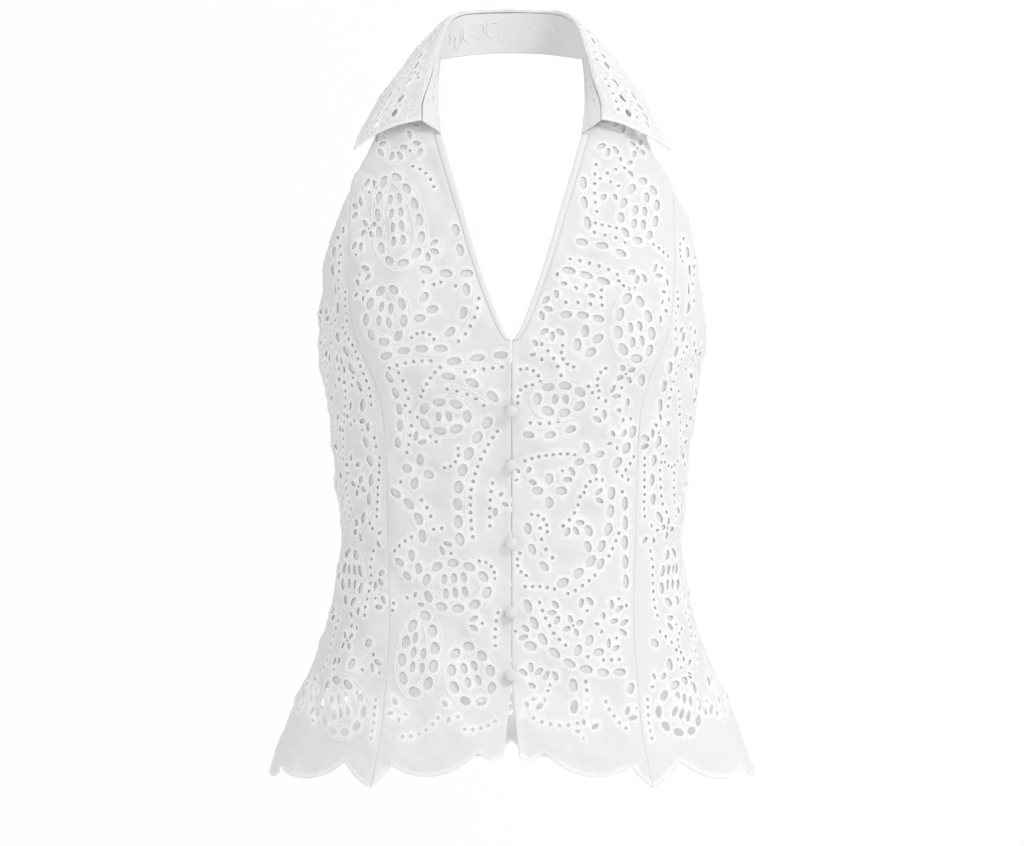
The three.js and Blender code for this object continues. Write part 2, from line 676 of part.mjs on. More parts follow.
// Scalloped hem from one end to the other
function scallopPoints([x0, y0], [x1, y1], drop) {
  const count = Math.max(2, Math.round(Math.hypot(x1 - x0, y1 - y0) / EDGE_STEP));
  return Array.from({ length: count }, (_, i) => {
    const t = i / count;
    return [x0 + (x1 - x0) * t, y0 + (y1 - y0) * t - drop * 4 * t * (1 - t)];
  });
}

// Height at which the princess seam runs into the armhole's edge
function seamTop(side) {
  const opening = (height) => Math.abs(armAlong(side, height)) - Math.abs(seamAlong(side, height));
  let [low, high] = [400, 500];
  for (let i = 0; i < 30; i += 1) {
    const middle = (low + high) / 2;
    if (opening(middle) > 2) low = middle;
    else high = middle;
  }
  return low;
}

// Half the opening of the slit in the hem
function slitHalf(height) {
  const foot = FRONT_SCALLOPS[0].start;
  const share = clamp((SLIT_TOP - height) / (SLIT_TOP - foot), 0, 1);
  return FRONT_GAP / 2 + (SLIT_HALF - FRONT_GAP / 2) * share;
}

// Hem of one front between two of its scallops, by length on the cloth
function frontHem(side, first, last) {
  const points = [];
  for (const { from, to, start, end, drop } of FRONT_SCALLOPS.slice(first, last)) {
    const ends = [
      [Math.abs(alongOfHalf(side * from, start)), start],
      [Math.abs(alongOfHalf(side * to, end)), end],
    ];
    points.push(...scallopPoints(ends[0], ends[1], drop));
  }
  return points;
}

// Mirrors a loop that was laid out on the right
const onSide = (side, loop) => (side > 0 ? loop : loop.map(([x, y]) => [-x, y]).reverse());

// Centre front: hem, princess seam, armhole, neckline, centre front and slit
function centreFrontBorder(side) {
  const size = (value) => Math.abs(value);
  const top = seamTop(side);
  const tip = FRONT_SCALLOPS[2].end;
  const hem = frontHem(side, 0, 3);
  const seam = levels(tip, top, EDGE_STEP).map((h) => [size(seamAlong(side, h)) - SEAM_GAP / 2, h]);
  const arm = levels(top, NECK_TIP, EDGE_STEP).map((h) => [size(armAlong(side, h)), h]);
  const neck = levels(NECK_TIP, COLLAR_FRONT, EDGE_STEP).map((h) => [size(neckAlong(side, h)), h]);
  const bound = levels(COLLAR_FRONT, V_FOOT, EDGE_STEP).map((h) => [
    size(neckAlong(side, h)) + bindingWidth(h) + SEAM_GAP,
    h,
  ]);
  const foot = V_FOOT - SEAM_GAP;
  const laps = levels(foot, SLIT_TOP, EDGE_STEP * 1.5).map((h) => [FRONT_GAP / 2, h]);
  const lap = [[bound.at(-1)[0], foot], ...laps];
  const slit = levels(SLIT_TOP, FRONT_SCALLOPS[0].start, EDGE_STEP).map((h) => [slitHalf(h), h]);
  const sides = [hem, seam, arm.slice(1), neck.slice(1), bound, lap, slit.slice(1, -1)];
  return onSide(side, sides.flat());
}

// Side front: hem, side seam, armhole and princess seam
function sideFrontBorder(side) {
  const size = (value) => Math.abs(value);
  const top = seamTop(side);
  const tip = FRONT_SCALLOPS[2].end;
  const low = FRONT_SCALLOPS.at(-1).end;
  const hem = frontHem(side, 3, 6);
  hem[0][0] += SEAM_GAP / 2;
  const seamed = levels(low, UNDERARM, EDGE_STEP).map((h) => [size(sideAlong(side, h)) - SEAM_GAP / 2, h]);
  const arm = levels(UNDERARM, top - SEAM_GAP, EDGE_STEP).map((h) => [size(armAlong(side, h)), h]);
  const seam = levels(tip, top, EDGE_STEP).map((h) => [size(seamAlong(side, h)) + SEAM_GAP / 2, h]);
  seam.at(-1)[1] -= SEAM_GAP;
  const sides = [hem, seamed, arm.slice(1), seam.reverse().slice(0, -1)];
  return onSide(side, sides.flat());
}

// Scallops of the back's hem between two places
function backHem(start, end, count, drop) {
  const at = (k) => [0, 1].map((i) => start[i] + ((end[i] - start[i]) * k) / count);
  return Array.from({ length: count }, (_, k) => scallopPoints(at(k), at(k + 1), drop)).flat();
}

// Top edge of the back between two lengths from the centre back
function backTop(from, to) {
  return levels(from, to, EDGE_STEP * 1.4).map((x) => [
    x,
    columnAt(BACK_TOP, 'along', 'height', Math.abs(x)),
  ]);
}

const backSeam = (height) => columnAt(BACK_SEAM, 'height', 'along', height);

// Length from the centre back at which a seam of the back meets the top edge
function backSeamTop(offset) {
  let height = BACK_TOP[1].height;
  for (let i = 0; i < 12; i += 1) {
    height = columnAt(BACK_TOP, 'along', 'height', backSeam(height) + offset);
  }
  return height;
}

// Centre back: hem, a seam on each side and the low top edge
function centreBackBorder() {
  const { notch, centreCount, drop } = BACK_SCALLOPS;
  const top = backSeamTop(-SEAM_GAP / 2);
  const seam = levels(notch, top, EDGE_STEP).map((h) => [backSeam(h) - SEAM_GAP / 2, h]);
  const mirrored = seam.map(([x, y]) => [-x, y]);
  const hem = backHem(mirrored[0], seam[0], centreCount, drop);
  const edge = backTop(seam.at(-1)[0], mirrored.at(-1)[0]).slice(1);
  return [hem, seam, edge, mirrored.reverse().slice(1, -1)].flat();
}

// Side back: hem, side seam, the low top edge and the seam of the centre back
function sideBackBorder(side) {
  const { notch, sideLow, sideCount, sideDrop, drop } = BACK_SCALLOPS;
  const reach = (h) => Math.abs(backReach(side, h)) - SEAM_GAP / 2;
  const seam = levels(notch, backSeamTop(SEAM_GAP / 2), EDGE_STEP).map((h) => [
    backSeam(h) + SEAM_GAP / 2,
    h,
  ]);
  const outer = levels(sideLow, UNDERARM, EDGE_STEP).map((h) => [reach(h), h]);
  const middle = [(seam[0][0] + outer[0][0]) / 2, notch];
  const hem = [
    ...backHem(seam[0], middle, sideCount - 1, drop),
    ...backHem(middle, outer[0], 1, sideDrop),
  ];
  const edge = backTop(outer.at(-1)[0], seam.at(-1)[0]).slice(1);
  const border = [hem, outer, edge, seam.reverse().slice(1, -1)].flat();
  return side > 0 ? border.map(([x, y]) => [-x, y]).reverse() : border;
}

// Binding along one edge of the V
function bindingBorder(side) {
  const size = (value) => Math.abs(value);
  const rows = levels(V_FOOT, COLLAR_FRONT - SEAM_GAP, EDGE_STEP);
  const outer = rows.map((h) => [size(neckAlong(side, h)) + bindingWidth(h), h]);
  const inner = rows.map((h) => [size(neckAlong(side, h)), h]).reverse();
  return onSide(side, [...outer, ...inner]);
}

// Point of a smooth line through a table's points, mirrored past the centre back
function alongRows(rows, place) {
  const last = rows.length - 1;
  const size = Math.min(Math.abs(place), last);
  const row = (i) => {
    const k = last - i;
    if (i < 0) return rows[last + i].clone().multiply(MIRROR);
    return i > last ? rows[0].clone().multiplyScalar(2).sub(rows[1]) : rows[k];
  };
  const i = Math.min(Math.floor(size), last - 1);
  const t = size - i;
  const [p, q, r, s] = [row(i - 1), row(i), row(i + 1), row(i + 2)];
  const point = new THREE.Vector3()
    .addScaledVector(p, -0.5 * t + t * t - 0.5 * t ** 3)
    .addScaledVector(q, 1 - 2.5 * t * t + 1.5 * t ** 3)
    .addScaledVector(r, 0.5 * t + 2 * t * t - 1.5 * t ** 3)
    .addScaledVector(s, -0.5 * t * t + 0.5 * t ** 3);
  return place > 0 ? point.multiply(MIRROR) : point;
}

const MIRROR = new THREE.Vector3(-1, 1, 1);
const FEET = STAND.map(({ seam, foot }) =>
  foot ? new THREE.Vector3(...foot) : frontCloth(neckAlong(1, seam), seam, STAND_LIFT),
);
const ROLLS = STAND.map(({ roll }) => new THREE.Vector3(...roll));
const EDGES = LEAF_EDGE.map((edge) => new THREE.Vector3(...edge));
const COLLAR_ROWS = STAND.length - 1;
const COLLAR_STEPS = 360;

// Lengths along the roll line from the centre back to the front end
const rollLengths = [0];
for (let i = 1; i <= COLLAR_STEPS; i += 1) {
  const [before, point] = [i - 1, i].map((k) => alongRows(ROLLS, (-k * COLLAR_ROWS) / COLLAR_STEPS));
  rollLengths.push(rollLengths[i - 1] + point.distanceTo(before));
}
const COLLAR_REACH = rollLengths[COLLAR_STEPS];

// Place in the collar's tables of a length along the roll line
function collarPlace(along) {
  const wanted = clamp(Math.abs(along), 0, COLLAR_REACH);
  let i = 1;
  while (i < COLLAR_STEPS && rollLengths[i] < wanted) i += 1;
  const part = (wanted - rollLengths[i - 1]) / (rollLengths[i] - rollLengths[i - 1]);
  return (Math.sign(along) * (i - 1 + part) * COLLAR_ROWS) / COLLAR_STEPS;
}

// Middle of the stand's cloth, a share of the way up from its seam
function standMiddle(along, up) {
  const place = collarPlace(along);
  const [foot, roll] = [alongRows(FEET, place), alongRows(ROLLS, place)];
  return foot.lerp(roll, up);
}

// Section of the leaf: the turn over the roll line, then the fall to the outer edge
function leafSection(along) {
  const place = collarPlace(along);
  const [foot, roll, edge] = [FEET, ROLLS, EDGES].map((rows) => alongRows(rows, place));
  const rise = roll.clone().sub(foot).normalize();
  const start = roll.clone().addScaledVector(rise, ROLL_GAP);
  const fall = edge.clone().sub(start).normalize();
  const sweep = rise.angleTo(fall);
  const side = fall.clone().addScaledVector(rise, -fall.dot(rise)).normalize();
  const turned = (angle) =>
    start
      .clone()
      .addScaledVector(rise, LEAF_ROLL * Math.sin(angle))
      .addScaledVector(side, LEAF_ROLL * (1 - Math.cos(angle)));
  const turn = LEAF_ROLL * sweep;
  const bend = turned(sweep);
  const out = rise.clone().multiplyScalar(Math.sin(sweep)).addScaledVector(side, -Math.cos(sweep));
  return { turned, turn, sweep, bend, edge, out, width: turn + bend.distanceTo(edge) };
}

// Middle of the leaf's cloth at a distance down from the roll line
function leafMiddle(along, down) {
  const { turned, turn, sweep, bend, edge, out, width } = leafSection(along);
  if (down < turn) return turned((sweep * down) / turn);
  const t = Math.min(1, (down - turn) / (width - turn));
  return bend.lerp(edge, t).addScaledVector(out, LEAF_BELLY * 4 * t * (1 - t));
}

// Point off the middle of a bent strip
function offMiddle(middle, along, down, out, reach) {
  const step = 0.4;
  const near = clamp(along, -COLLAR_REACH + step, COLLAR_REACH - step);
  const level = clamp(down, step, reach - step);
  const across = middle(near + step, level).sub(middle(near - step, level));
  const fall = middle(near, level - step).sub(middle(near, level + step));
  return middle(along, down).addScaledVector(across.cross(fall).normalize(), out);
}

const STAND_FLAT = 26;
const standCloth = (along, up, out) => {
  const middle = (x, down) => standMiddle(x, (STAND_FLAT - down) / STAND_FLAT);
  return offMiddle(middle, along, STAND_FLAT - up, out, STAND_FLAT);
};
const leafCloth = (along, height, out) =>
  offMiddle(leafMiddle, along, -height, out, leafSection(along).width);

// Collar stand as a strip between its seam and the roll line
function standFlat() {
  const places = levels(-COLLAR_REACH, COLLAR_REACH, 11);
  const foot = places.map((x) => [x, 0]);
  const roll = places.map((x) => [x, STAND_FLAT]).reverse();
  return panelTriangles([[...foot, ...roll]], places.slice(1, -1).map((x) => [x, STAND_FLAT / 2]));
}

// Collar leaf, with its pointed front ends and its eyelets
function leafFlat() {
  const places = levels(-COLLAR_REACH, COLLAR_REACH, 11);
  const edge = places.map((x) => [x, -leafSection(x).width]);
  const roll = places.map((x) => [x, 0]).reverse();
  const ends = [0.75, 0.5, 0.25].map((t) => -leafSection(COLLAR_REACH).width * t);
  const right = ends.map((y) => [COLLAR_REACH, y]);
  const left = [...ends].reverse().map((y) => [-COLLAR_REACH, y]);
  const border = [...edge, ...right, ...roll, ...left];
  const fromFront = (x) => COLLAR_REACH - Math.abs(x);
  const chart = LEAF_CHART.map((row) => ({ ...row, height: -row.height, toHeight: -row.toHeight }));
  const holes = [1, -1].flatMap((side) => chartLoops(chart, side, border, fromFront));
  const inner = places.slice(1, -1);
  const bends = inner.flatMap((x) => [0.5, 1].map((t) => [x, -leafSection(x).turn * t]));
  const rows = inner.flatMap((x) => {
    const { turn, width } = leafSection(x);
    return [0.33, 0.66].map((t) => [x, -(turn + (width - turn) * t)]);
  });
  const free = rows.filter((point) => holes.every((hole) => distanceToLoop(point, hole) > 4));
  return panelTriangles([border, ...holes], [...bends, ...free]);
}

// Solid of a panel of the body, with the eyelets that its charts place
function bodySolid(border, holes, place, outer = 0) {
  const loops = [border, ...holes];
  return clothSolid(panelTriangles(loops, insidePoints(loops, INSIDE_STEP)), place, outer, -CLOTH);
}

// Part of a panel's outline above a level, closed along that level
function cutAbove(border, level) {
  const kept = [];
  border.forEach(([x, y], i) => {
    const [nextX, nextY] = border[(i + 1) % border.length];
    if (y >= level) kept.push([x, y]);
    if (y >= level !== nextY >= level) {
      kept.push([x + ((nextX - x) * (level - y)) / (nextY - y), level]);
    }
  });
  const closing = levels(kept.at(-1)[0], kept[0][0], EDGE_STEP).slice(1, -1);
  return [...kept, ...closing.map((x) => [x, level])];
}

const distanceToPoints = ([x, y], points) =>
  Math.min(...points.map(([px, py]) => Math.hypot(px - x, py - y)));

// Plain lining close behind a front panel, on points of the panel itself
function liningSolid(border, holes) {
  const edge = cutAbove(border, LINING.hem);
  const points = insidePoints([border, ...holes], INSIDE_STEP);
  for (const [corner] of holes) {
    if (distanceToPoints(corner, [...points, ...border]) > LINING.spacing) points.push(corner);
  }
  const inner = points.filter(([, y]) => y > LINING.hem + EDGE_STEP / 2);
  return clothSolid(panelTriangles([edge], inner), frontCloth, LINING.outer, LINING.inner);
}

// Rings of points joined into a closed solid
function ringSolid(rings, first, last) {
  const sides = rings[0].length;
  const positions = [first, ...rings.flat(), last].flatMap((point) => point.toArray());
  const end = rings.length * sides + 1;
  const faces = [];
  for (let k = 0; k < sides; k += 1) {
    const next = (k + 1) % sides;
    faces.push([0, 1 + next, 1 + k], [end, end - sides + k, end - sides + next]);
    for (let i = 0; i < rings.length - 1; i += 1) {
      const [a, b] = [1 + i * sides + k, 1 + i * sides + next];
      faces.push([a, b, b + sides], [a, b + sides, a + sides]);
    }
  }
  return { positions, faces };
}

// Directions of the cloth at the centre front: right, up and out
function frontFrame(height) {
  const out = clothPoint(0, height, 1).sub(clothPoint(0, height, 0));
  const right = new THREE.Vector3(1, 0, 0).addScaledVector(out, -out.x).normalize();
  return { origin: clothPoint(0, height, 0), right, up: out.clone().cross(right), out };
}

// Covered ball button with its shank, standing off the cloth
function buttonSolid(height) {
  const { radius, halfDepth, standOff, shank, sides, rings } = BUTTON;
  const { origin, right, up, out } = frontFrame(height);
  const join = Math.asin(shank / radius);
  const profile = [[shank, SEAM_GAP + 0.05]];
  for (let i = 0; i < rings; i += 1) {
    const angle = join + ((HALF_TURN - join) * i) / rings;
    profile.push([radius * Math.sin(angle), standOff - halfDepth * Math.cos(angle)]);
  }
  const at = (r, angle, distance) =>
    origin
      .clone()
      .addScaledVector(right, r * Math.cos(angle))
      .addScaledVector(up, r * Math.sin(angle))
      .addScaledVector(out, distance);
  const circles = profile.map(([r, distance]) =>
    Array.from({ length: sides }, (_, k) => at(r, (2 * HALF_TURN * k) / sides, distance)),
  );
  return ringSolid(circles, at(0, 0, SEAM_GAP + 0.05), at(0, 0, standOff + halfDepth));
}

// Rouleau loop from the left edge round a button's shank
function loopSolid(height) {
  const { radius, reach, bend, lift, sides, turns } = LOOP;
  const { origin, right, up, out } = frontFrame(height);
  const path = [[-reach, -bend, 0], [-reach / 2, -bend, 0]];
  for (let i = 0; i <= turns; i += 1) {
    const angle = -QUARTER_TURN + (HALF_TURN * i) / turns;
    path.push([bend * Math.cos(angle), bend * Math.sin(angle), angle + QUARTER_TURN]);
  }
  path.push([-reach / 2, bend, HALF_TURN], [-reach, bend, HALF_TURN]);
  const at = ([x, y, heading], r, angle) => {
    const across = r * Math.cos(angle);
    return origin
      .clone()
      .addScaledVector(right, x + across * Math.sin(heading))
      .addScaledVector(up, y - across * Math.cos(heading))
      .addScaledVector(out, lift - r * Math.sin(angle));
  };
  const circles = path.map((step) =>
    Array.from({ length: sides }, (_, k) => at(step, radius, (2 * HALF_TURN * k) / sides)),
  );
  return ringSolid(circles, at(path[0], 0, 0), at(path.at(-1), 0, 0));
}

// Named mesh in the finished top's own frame
function namedMesh(name, { positions, faces }, finish) {
  const geometry = new THREE.BufferGeometry();
  geometry.setAttribute('position', new THREE.Float32BufferAttribute(positions, 3));
  geometry.setIndex(faces.flat());
  geometry.translate(0, -NECK_HOLD.depth, -NECK_HOLD.height);
  geometry.computeVertexNormals();
  const mesh = new THREE.Mesh(geometry, new THREE.MeshStandardMaterial(finish));
  mesh.name = name;
  return mesh;
}

const SIDES = [
  { name: 'right', side: 1, chart: RIGHT_FRONT_CHART },
  { name: 'left', side: -1, chart: LEFT_FRONT_CHART },
];

const top = new THREE.Group();
top.name = 'halter_neck_top';

for (const { name, side, chart } of SIDES) {
  const centreBorder = centreFrontBorder(side);
  const centreHoles = chartLoops(chart, side, centreBorder, alongOfHalf);
  const centreLining = liningSolid(centreBorder, centreHoles);
  top.add(namedMesh(`centre_front_lining_${name}`, centreLining, LINING_COTTON));
  top.add(namedMesh(`centre_front_${name}`, bodySolid(centreBorder, centreHoles, frontCloth), COTTON));
  const sideBorder = sideFrontBorder(side);
  const sideHoles = chartLoops(SIDE_FRONT_CHART, side, sideBorder, (x) => x);
  top.add(namedMesh(`side_front_lining_${name}`, liningSolid(sideBorder, sideHoles), LINING_COTTON));
  top.add(namedMesh(`side_front_${name}`, bodySolid(sideBorder, sideHoles, frontCloth), COTTON));
  const sideBack = bodySolid(sideBackBorder(side), [], backCloth);
  top.add(namedMesh(`side_back_${name}`, sideBack, COTTON));
  const binding = bodySolid(bindingBorder(side), [], frontCloth, BINDING_RISE);
  top.add(namedMesh(`neckline_binding_${name}`, binding, COTTON));
}

const backEdge = centreBackBorder();
const backHoles = [1, -1].flatMap((side) => chartLoops(CENTRE_BACK_CHART, side, backEdge, (x) => x));
top.add(namedMesh('centre_back', bodySolid(backEdge, backHoles, backCloth), COTTON));
top.add(namedMesh('collar_stand', clothSolid(standFlat(), standCloth, CLOTH / 2, -CLOTH / 2), COTTON));
top.add(namedMesh('collar_leaf', clothSolid(leafFlat(), leafCloth, CLOTH / 2, -CLOTH / 2), COTTON));

BUTTON_HEIGHTS.forEach((height, i) => {
  top.add(namedMesh(`button_${i + 1}`, buttonSolid(height), COVERED));
  top.add(namedMesh(`button_loop_${i + 1}`, loopSolid(height), COVERED));
});

export default top;
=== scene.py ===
"""Looks of a white eyelet cotton halter neck top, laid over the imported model.

Lengths in the tables are millimetres. The front faces -Y, X runs to the picture's right and heights
are above the lowest point of the hem. new_piece and Closure move each piece into the part's frame.
"""

import logging
import math
from dataclasses import dataclass, field, replace
from enum import Enum
from typing import Callable, Optional, Sequence

import bpy
import numpy as np
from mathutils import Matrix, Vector
from mathutils.geometry import delaunay_2d_cdt


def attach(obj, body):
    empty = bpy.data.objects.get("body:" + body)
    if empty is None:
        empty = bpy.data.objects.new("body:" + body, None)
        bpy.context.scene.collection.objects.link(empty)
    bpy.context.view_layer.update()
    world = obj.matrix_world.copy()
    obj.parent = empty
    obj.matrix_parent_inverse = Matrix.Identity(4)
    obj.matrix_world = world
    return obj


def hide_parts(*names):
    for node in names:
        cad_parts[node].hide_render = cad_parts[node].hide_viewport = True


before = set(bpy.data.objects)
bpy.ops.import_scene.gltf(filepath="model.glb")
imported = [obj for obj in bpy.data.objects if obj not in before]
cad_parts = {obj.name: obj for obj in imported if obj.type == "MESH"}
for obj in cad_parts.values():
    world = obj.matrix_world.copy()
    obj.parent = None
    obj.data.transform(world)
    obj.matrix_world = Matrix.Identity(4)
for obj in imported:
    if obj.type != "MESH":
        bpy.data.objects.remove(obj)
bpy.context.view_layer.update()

LOG = logging.getLogger("halter_top")
Array = np.ndarray

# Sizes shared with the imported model
NECK_HOLD = np.array([0.0, 64.55, 583.0])
SQUARENESS = 0.07
FRONT_GAP = 0.6
SLIT_TOP = 82.0
SLIT_HALF = 5.5
V_FOOT = 337.0
UNDERARM = 338.0
LINING_HEM = 78.0
LINING_FACES = (-1.3, -1.6)
LINING_STEP = 4.6
COLLAR_FRONT = 492.0
NECK_TIP = 553.0
ROLL_GAP = 0.7
LEAF_ROLL = 1.9
LEAF_BELLY = 3.5
STAND_LIFT = 0.95
STAND_FLAT = 26.0
STRIP_FACES = (0.45, -0.45)
COLLAR_STEPS = 360

# Sizes of the finer cloth
THICKNESS = 0.75
SEAM_GAP = 0.06
EDGE_STEP = 2.4
INSIDE_STEP = 3.1
EDGE_ROWS = (0.8, 1.9)
LEAST_SIDE = 0.03
SPRIG_STRAY = 0.22
FRONT_SPRIGS = 18
SIDE_SPRIGS = 19
LOWEST_SPRIG = 48
# Height and width of the groove at a seam, of the ridge beside it, and of what ends each edge
SEAM_GROOVE = (0.24, 0.7)
SEAM_RIDGE = (0.07, 2.6, 1.3)
HEM_BAND = (0.5, 0.3, 2.5)
TURNED_HEM = (0.3, 5.2, 0.3, 0.6)
FRONT_FOLD = (0.35, 3.4, 0.25, 0.5)
# Height, start inside the edge and width of the satin rim of an eyelet and of a dot
OVAL_RIM = (0.62, 0.35, 1.85)
DOT_RIM = (0.42, 0.4, 1.5)
PUCKERS = ((78, 0.5), (52, 0.42), (33, 0.26), (21, 0.2), (13, 0.16), (8.5, 0.1))
CREASE_GAIN = 1.25

# Columns: height, half width, front depth, back depth, centre
SECTIONS = np.array([
    (0, 187, 131, 127, 0), (46, 172.5, 121, 118, 0), (92, 152, 107, 106, 0), (138, 137, 95, 94, 0),
    (185, 130, 89, 88, 0), (231, 134, 92, 90, 0), (277, 138.5, 102, 95, 0), (323, 146, 114, 101, 0),
    (350, 148.5, 117, 104, 0), (370, 150, 116, 104, 0), (393, 150.5, 110, 104, 0),
    (416, 149, 102, 104, 0), (439, 145.5, 92.5, 100, 0), (462, 139, 83, 96, 0),
    (485, 130, 73.5, 90, 0), (504, 119, 65.5, 80, 0.5), (516, 107, 61, 70, 2), (530, 92, 56, 62, 4),
    (543, 77, 53, 60, 6), (556, 64, 50, 58, 8.5),
], dtype=float)
BUST = {"height": 352, "angle": 0.66, "rise": 48, "spread": 0.36, "fullness": 8}
FLUTES = {"count": 11, "depth": 2.6, "reach": 120, "phase": 0.4}

# Columns: height, half width seen from the front
NECKLINE = np.array([
    (337, 0.6), (343, 5.2), (365, 14.3), (387, 22), (410, 29), (433, 35.6), (456, 42.5), (480, 49.3),
    (492, 52.7), (504, 54.2), (516, 55.4), (530, 55.6), (543, 55.2), (553, 54.4),
], dtype=float)
PRINCESS_SEAM = np.array([
    (0, 105), (22, 101), (50, 96), (90, 93), (127, 91), (185, 92.5), (235, 93.5), (279, 95.5),
    (307, 102), (330, 112), (352, 118.5), (384, 121.5), (412, 122), (445, 121.5),
], dtype=float)
# Columns: height, turn from the centre front in degrees
ARMHOLE = np.array([
    (338, 91), (343, 84), (354, 78.5), (370, 73.5), (393, 68.5), (416, 64.5), (439, 59.5),
    (445, 58.2), (462, 55.5), (485, 53), (508, 53), (530, 56), (545, 59.5), (553, 60.8),
], dtype=float)
# Columns: height, width
BINDING_WIDTH = np.array([(337, 3.4), (380, 4.2), (430, 4.8), (492, 5.4)], dtype=float)
# Columns: height, length on the cloth from the centre back
BACK_SEAM = np.array([
    (0, 126), (19, 122), (46, 113), (92, 97), (138, 84), (185, 78), (231, 80), (277, 85), (323, 92),
    (345, 96),
], dtype=float)
# Columns: length from the centre back, height
BACK_TOP = np.array([(0, 322), (60, 325), (120, 332), (190, 338)], dtype=float)
# Columns: half width of both ends, height of both ends, drop
FRONT_SCALLOPS = (
    (5.5, 24, 33, 35, 4), (24, 88.5, 35, 25, 12), (88.5, 104.5, 25, 9, 2),
    (104.5, 123.5, 9, 26, 2), (123.5, 173, 26, 19, 11), (173, 187, 19, 6, 3),
)
BACK_SCALLOPS = {
    "notch": 21.0, "side_low": 6.0, "centre_count": 4, "side_count": 2, "drop": 13, "side_drop": 4,
}

# Columns: height of the stand's seam on the neckline, then the roll line's x, y, height
STAND_FRONT = np.array([
    (492, 66.4, -69, 501.5), (506, 66, -61, 516), (524, 60.4, -49, 535), (541, 56, -34, 555),
    (552, 52.4, -15, 570.5),
], dtype=float)
# Columns: foot x, y, height and roll x, y, height
STAND_BACK = np.array([
    (53.6, 8, 554.5, 48, 8, 581.5), (47.6, 30, 557.5, 43, 31, 588), (38, 47, 560.3, 35.5, 48, 592.3),
    (21.5, 59.5, 563.2, 20.5, 60.8, 594.8), (0, 64.4, 564.2, 0, 66, 595.8),
], dtype=float)
# Columns: x, y, height, from the front point to the centre back
LEAF_EDGE = np.array([
    (119, -49, 481), (115, -44, 492), (109.2, -37, 503.5), (103, -26, 516.5), (96, -11, 528.5),
    (86.5, 13, 539.5), (74.5, 40, 549.5), (57.5, 60, 558.5), (31, 72, 565.5), (0, 76, 568),
], dtype=float)

BUTTON_HEIGHTS = (286.5, 246, 187.5, 135.5, 90)
BUTTON = {"radius": 4.6, "half_depth": 3.3, "stand_off": 5.6, "shank": 1.3}
LOOP = {"radius": 0.8, "reach": 5.5, "bend": 2.5}


class Edge(Enum):
    """How an edge of the cloth is finished."""

    HEM = "satin-stitched scallop"
    SEAM = "seam"
    FREE = "narrow turned hem"
    FOLD = "folded front edge"
    PLAIN = "plain"


class Kind(Enum):
    """How the eyelets of a motif are set."""

    CHAIN = "along a bowed line"
    RING = "round an oval or a drop"
    ROSETTE = "as petals"
    LEAF = "in pairs on a stem"


@dataclass(frozen=True)
class Motif:
    """One group of eyelets on the chart.

    x and height place it, and to is the far end of a chain.
    """

    kind: Kind
    x: float
    height: float
    to: tuple = (0.0, 0.0)
    bow: float = 0.0
    across: float = 0.0
    up: float = 0.0
    turn: float = 0.0
    pinch: float = 0.0
    curl: float = 0.0
    count: int = 0
    step: float = 0.0
    spread: float = 0.0
    long: float = 7.5
    wide: float = 4.8


@dataclass(frozen=True)
class Crease:
    """One soft trough (depth below 0) or ridge on the cloth, in the flat's own directions."""

    along: float
    height: float
    length: float
    width: float
    depth: float
    lean: float = 0.0


def creases(*rows: tuple) -> list:
    """Creases from rows of their values."""
    return [Crease(*row) for row in rows]


def column_at(rows: Array, place: Array, column: int = 1) -> Array:
    """Smooth value of a table's column.

    Args:
        rows: the table, with its key in column 0.
        place: where to read it.
        column: which column to read.

    Returns:
        The values, held at the table's ends.
    """
    x, y = rows[:, 0], rows[:, column]
    step = np.diff(x)
    slope = np.diff(y) / step
    total = slope[:-1] + slope[1:]
    product = slope[:-1] * slope[1:]
    shared = np.where(product <= 0, 0.0, 2 * product / np.where(total == 0, 1.0, total))
    first = np.concatenate([slope[:1], shared])
    second = np.concatenate([shared, slope[-1:]])
    p = np.clip(np.asarray(place, dtype=float), x[0], x[-1])
    i = np.clip(np.searchsorted(x, p, side="right") - 1, 0, len(x) - 2)
    t = (p - x[i]) / step[i]
    return (
        y[i] * (2 * t**3 - 3 * t**2 + 1)
        + y[i + 1] * (3 * t**2 - 2 * t**3)
        + step[i] * first[i] * (t**3 - 2 * t**2 + t)
        + step[i] * second[i] * (t**3 - t**2)
    )


def unit(vectors: Array) -> Array:
    """Vectors of length one in the same directions."""
    size = np.linalg.norm(vectors, axis=-1, keepdims=True)
    return vectors / np.maximum(size, 1e-12)


def levels(start: float, end: float, step: float) -> Array:
    """Values from start to end, both included, in even steps of about a size."""
    return np.linspace(start, end, max(1, round(abs(end - start) / step)) + 1)


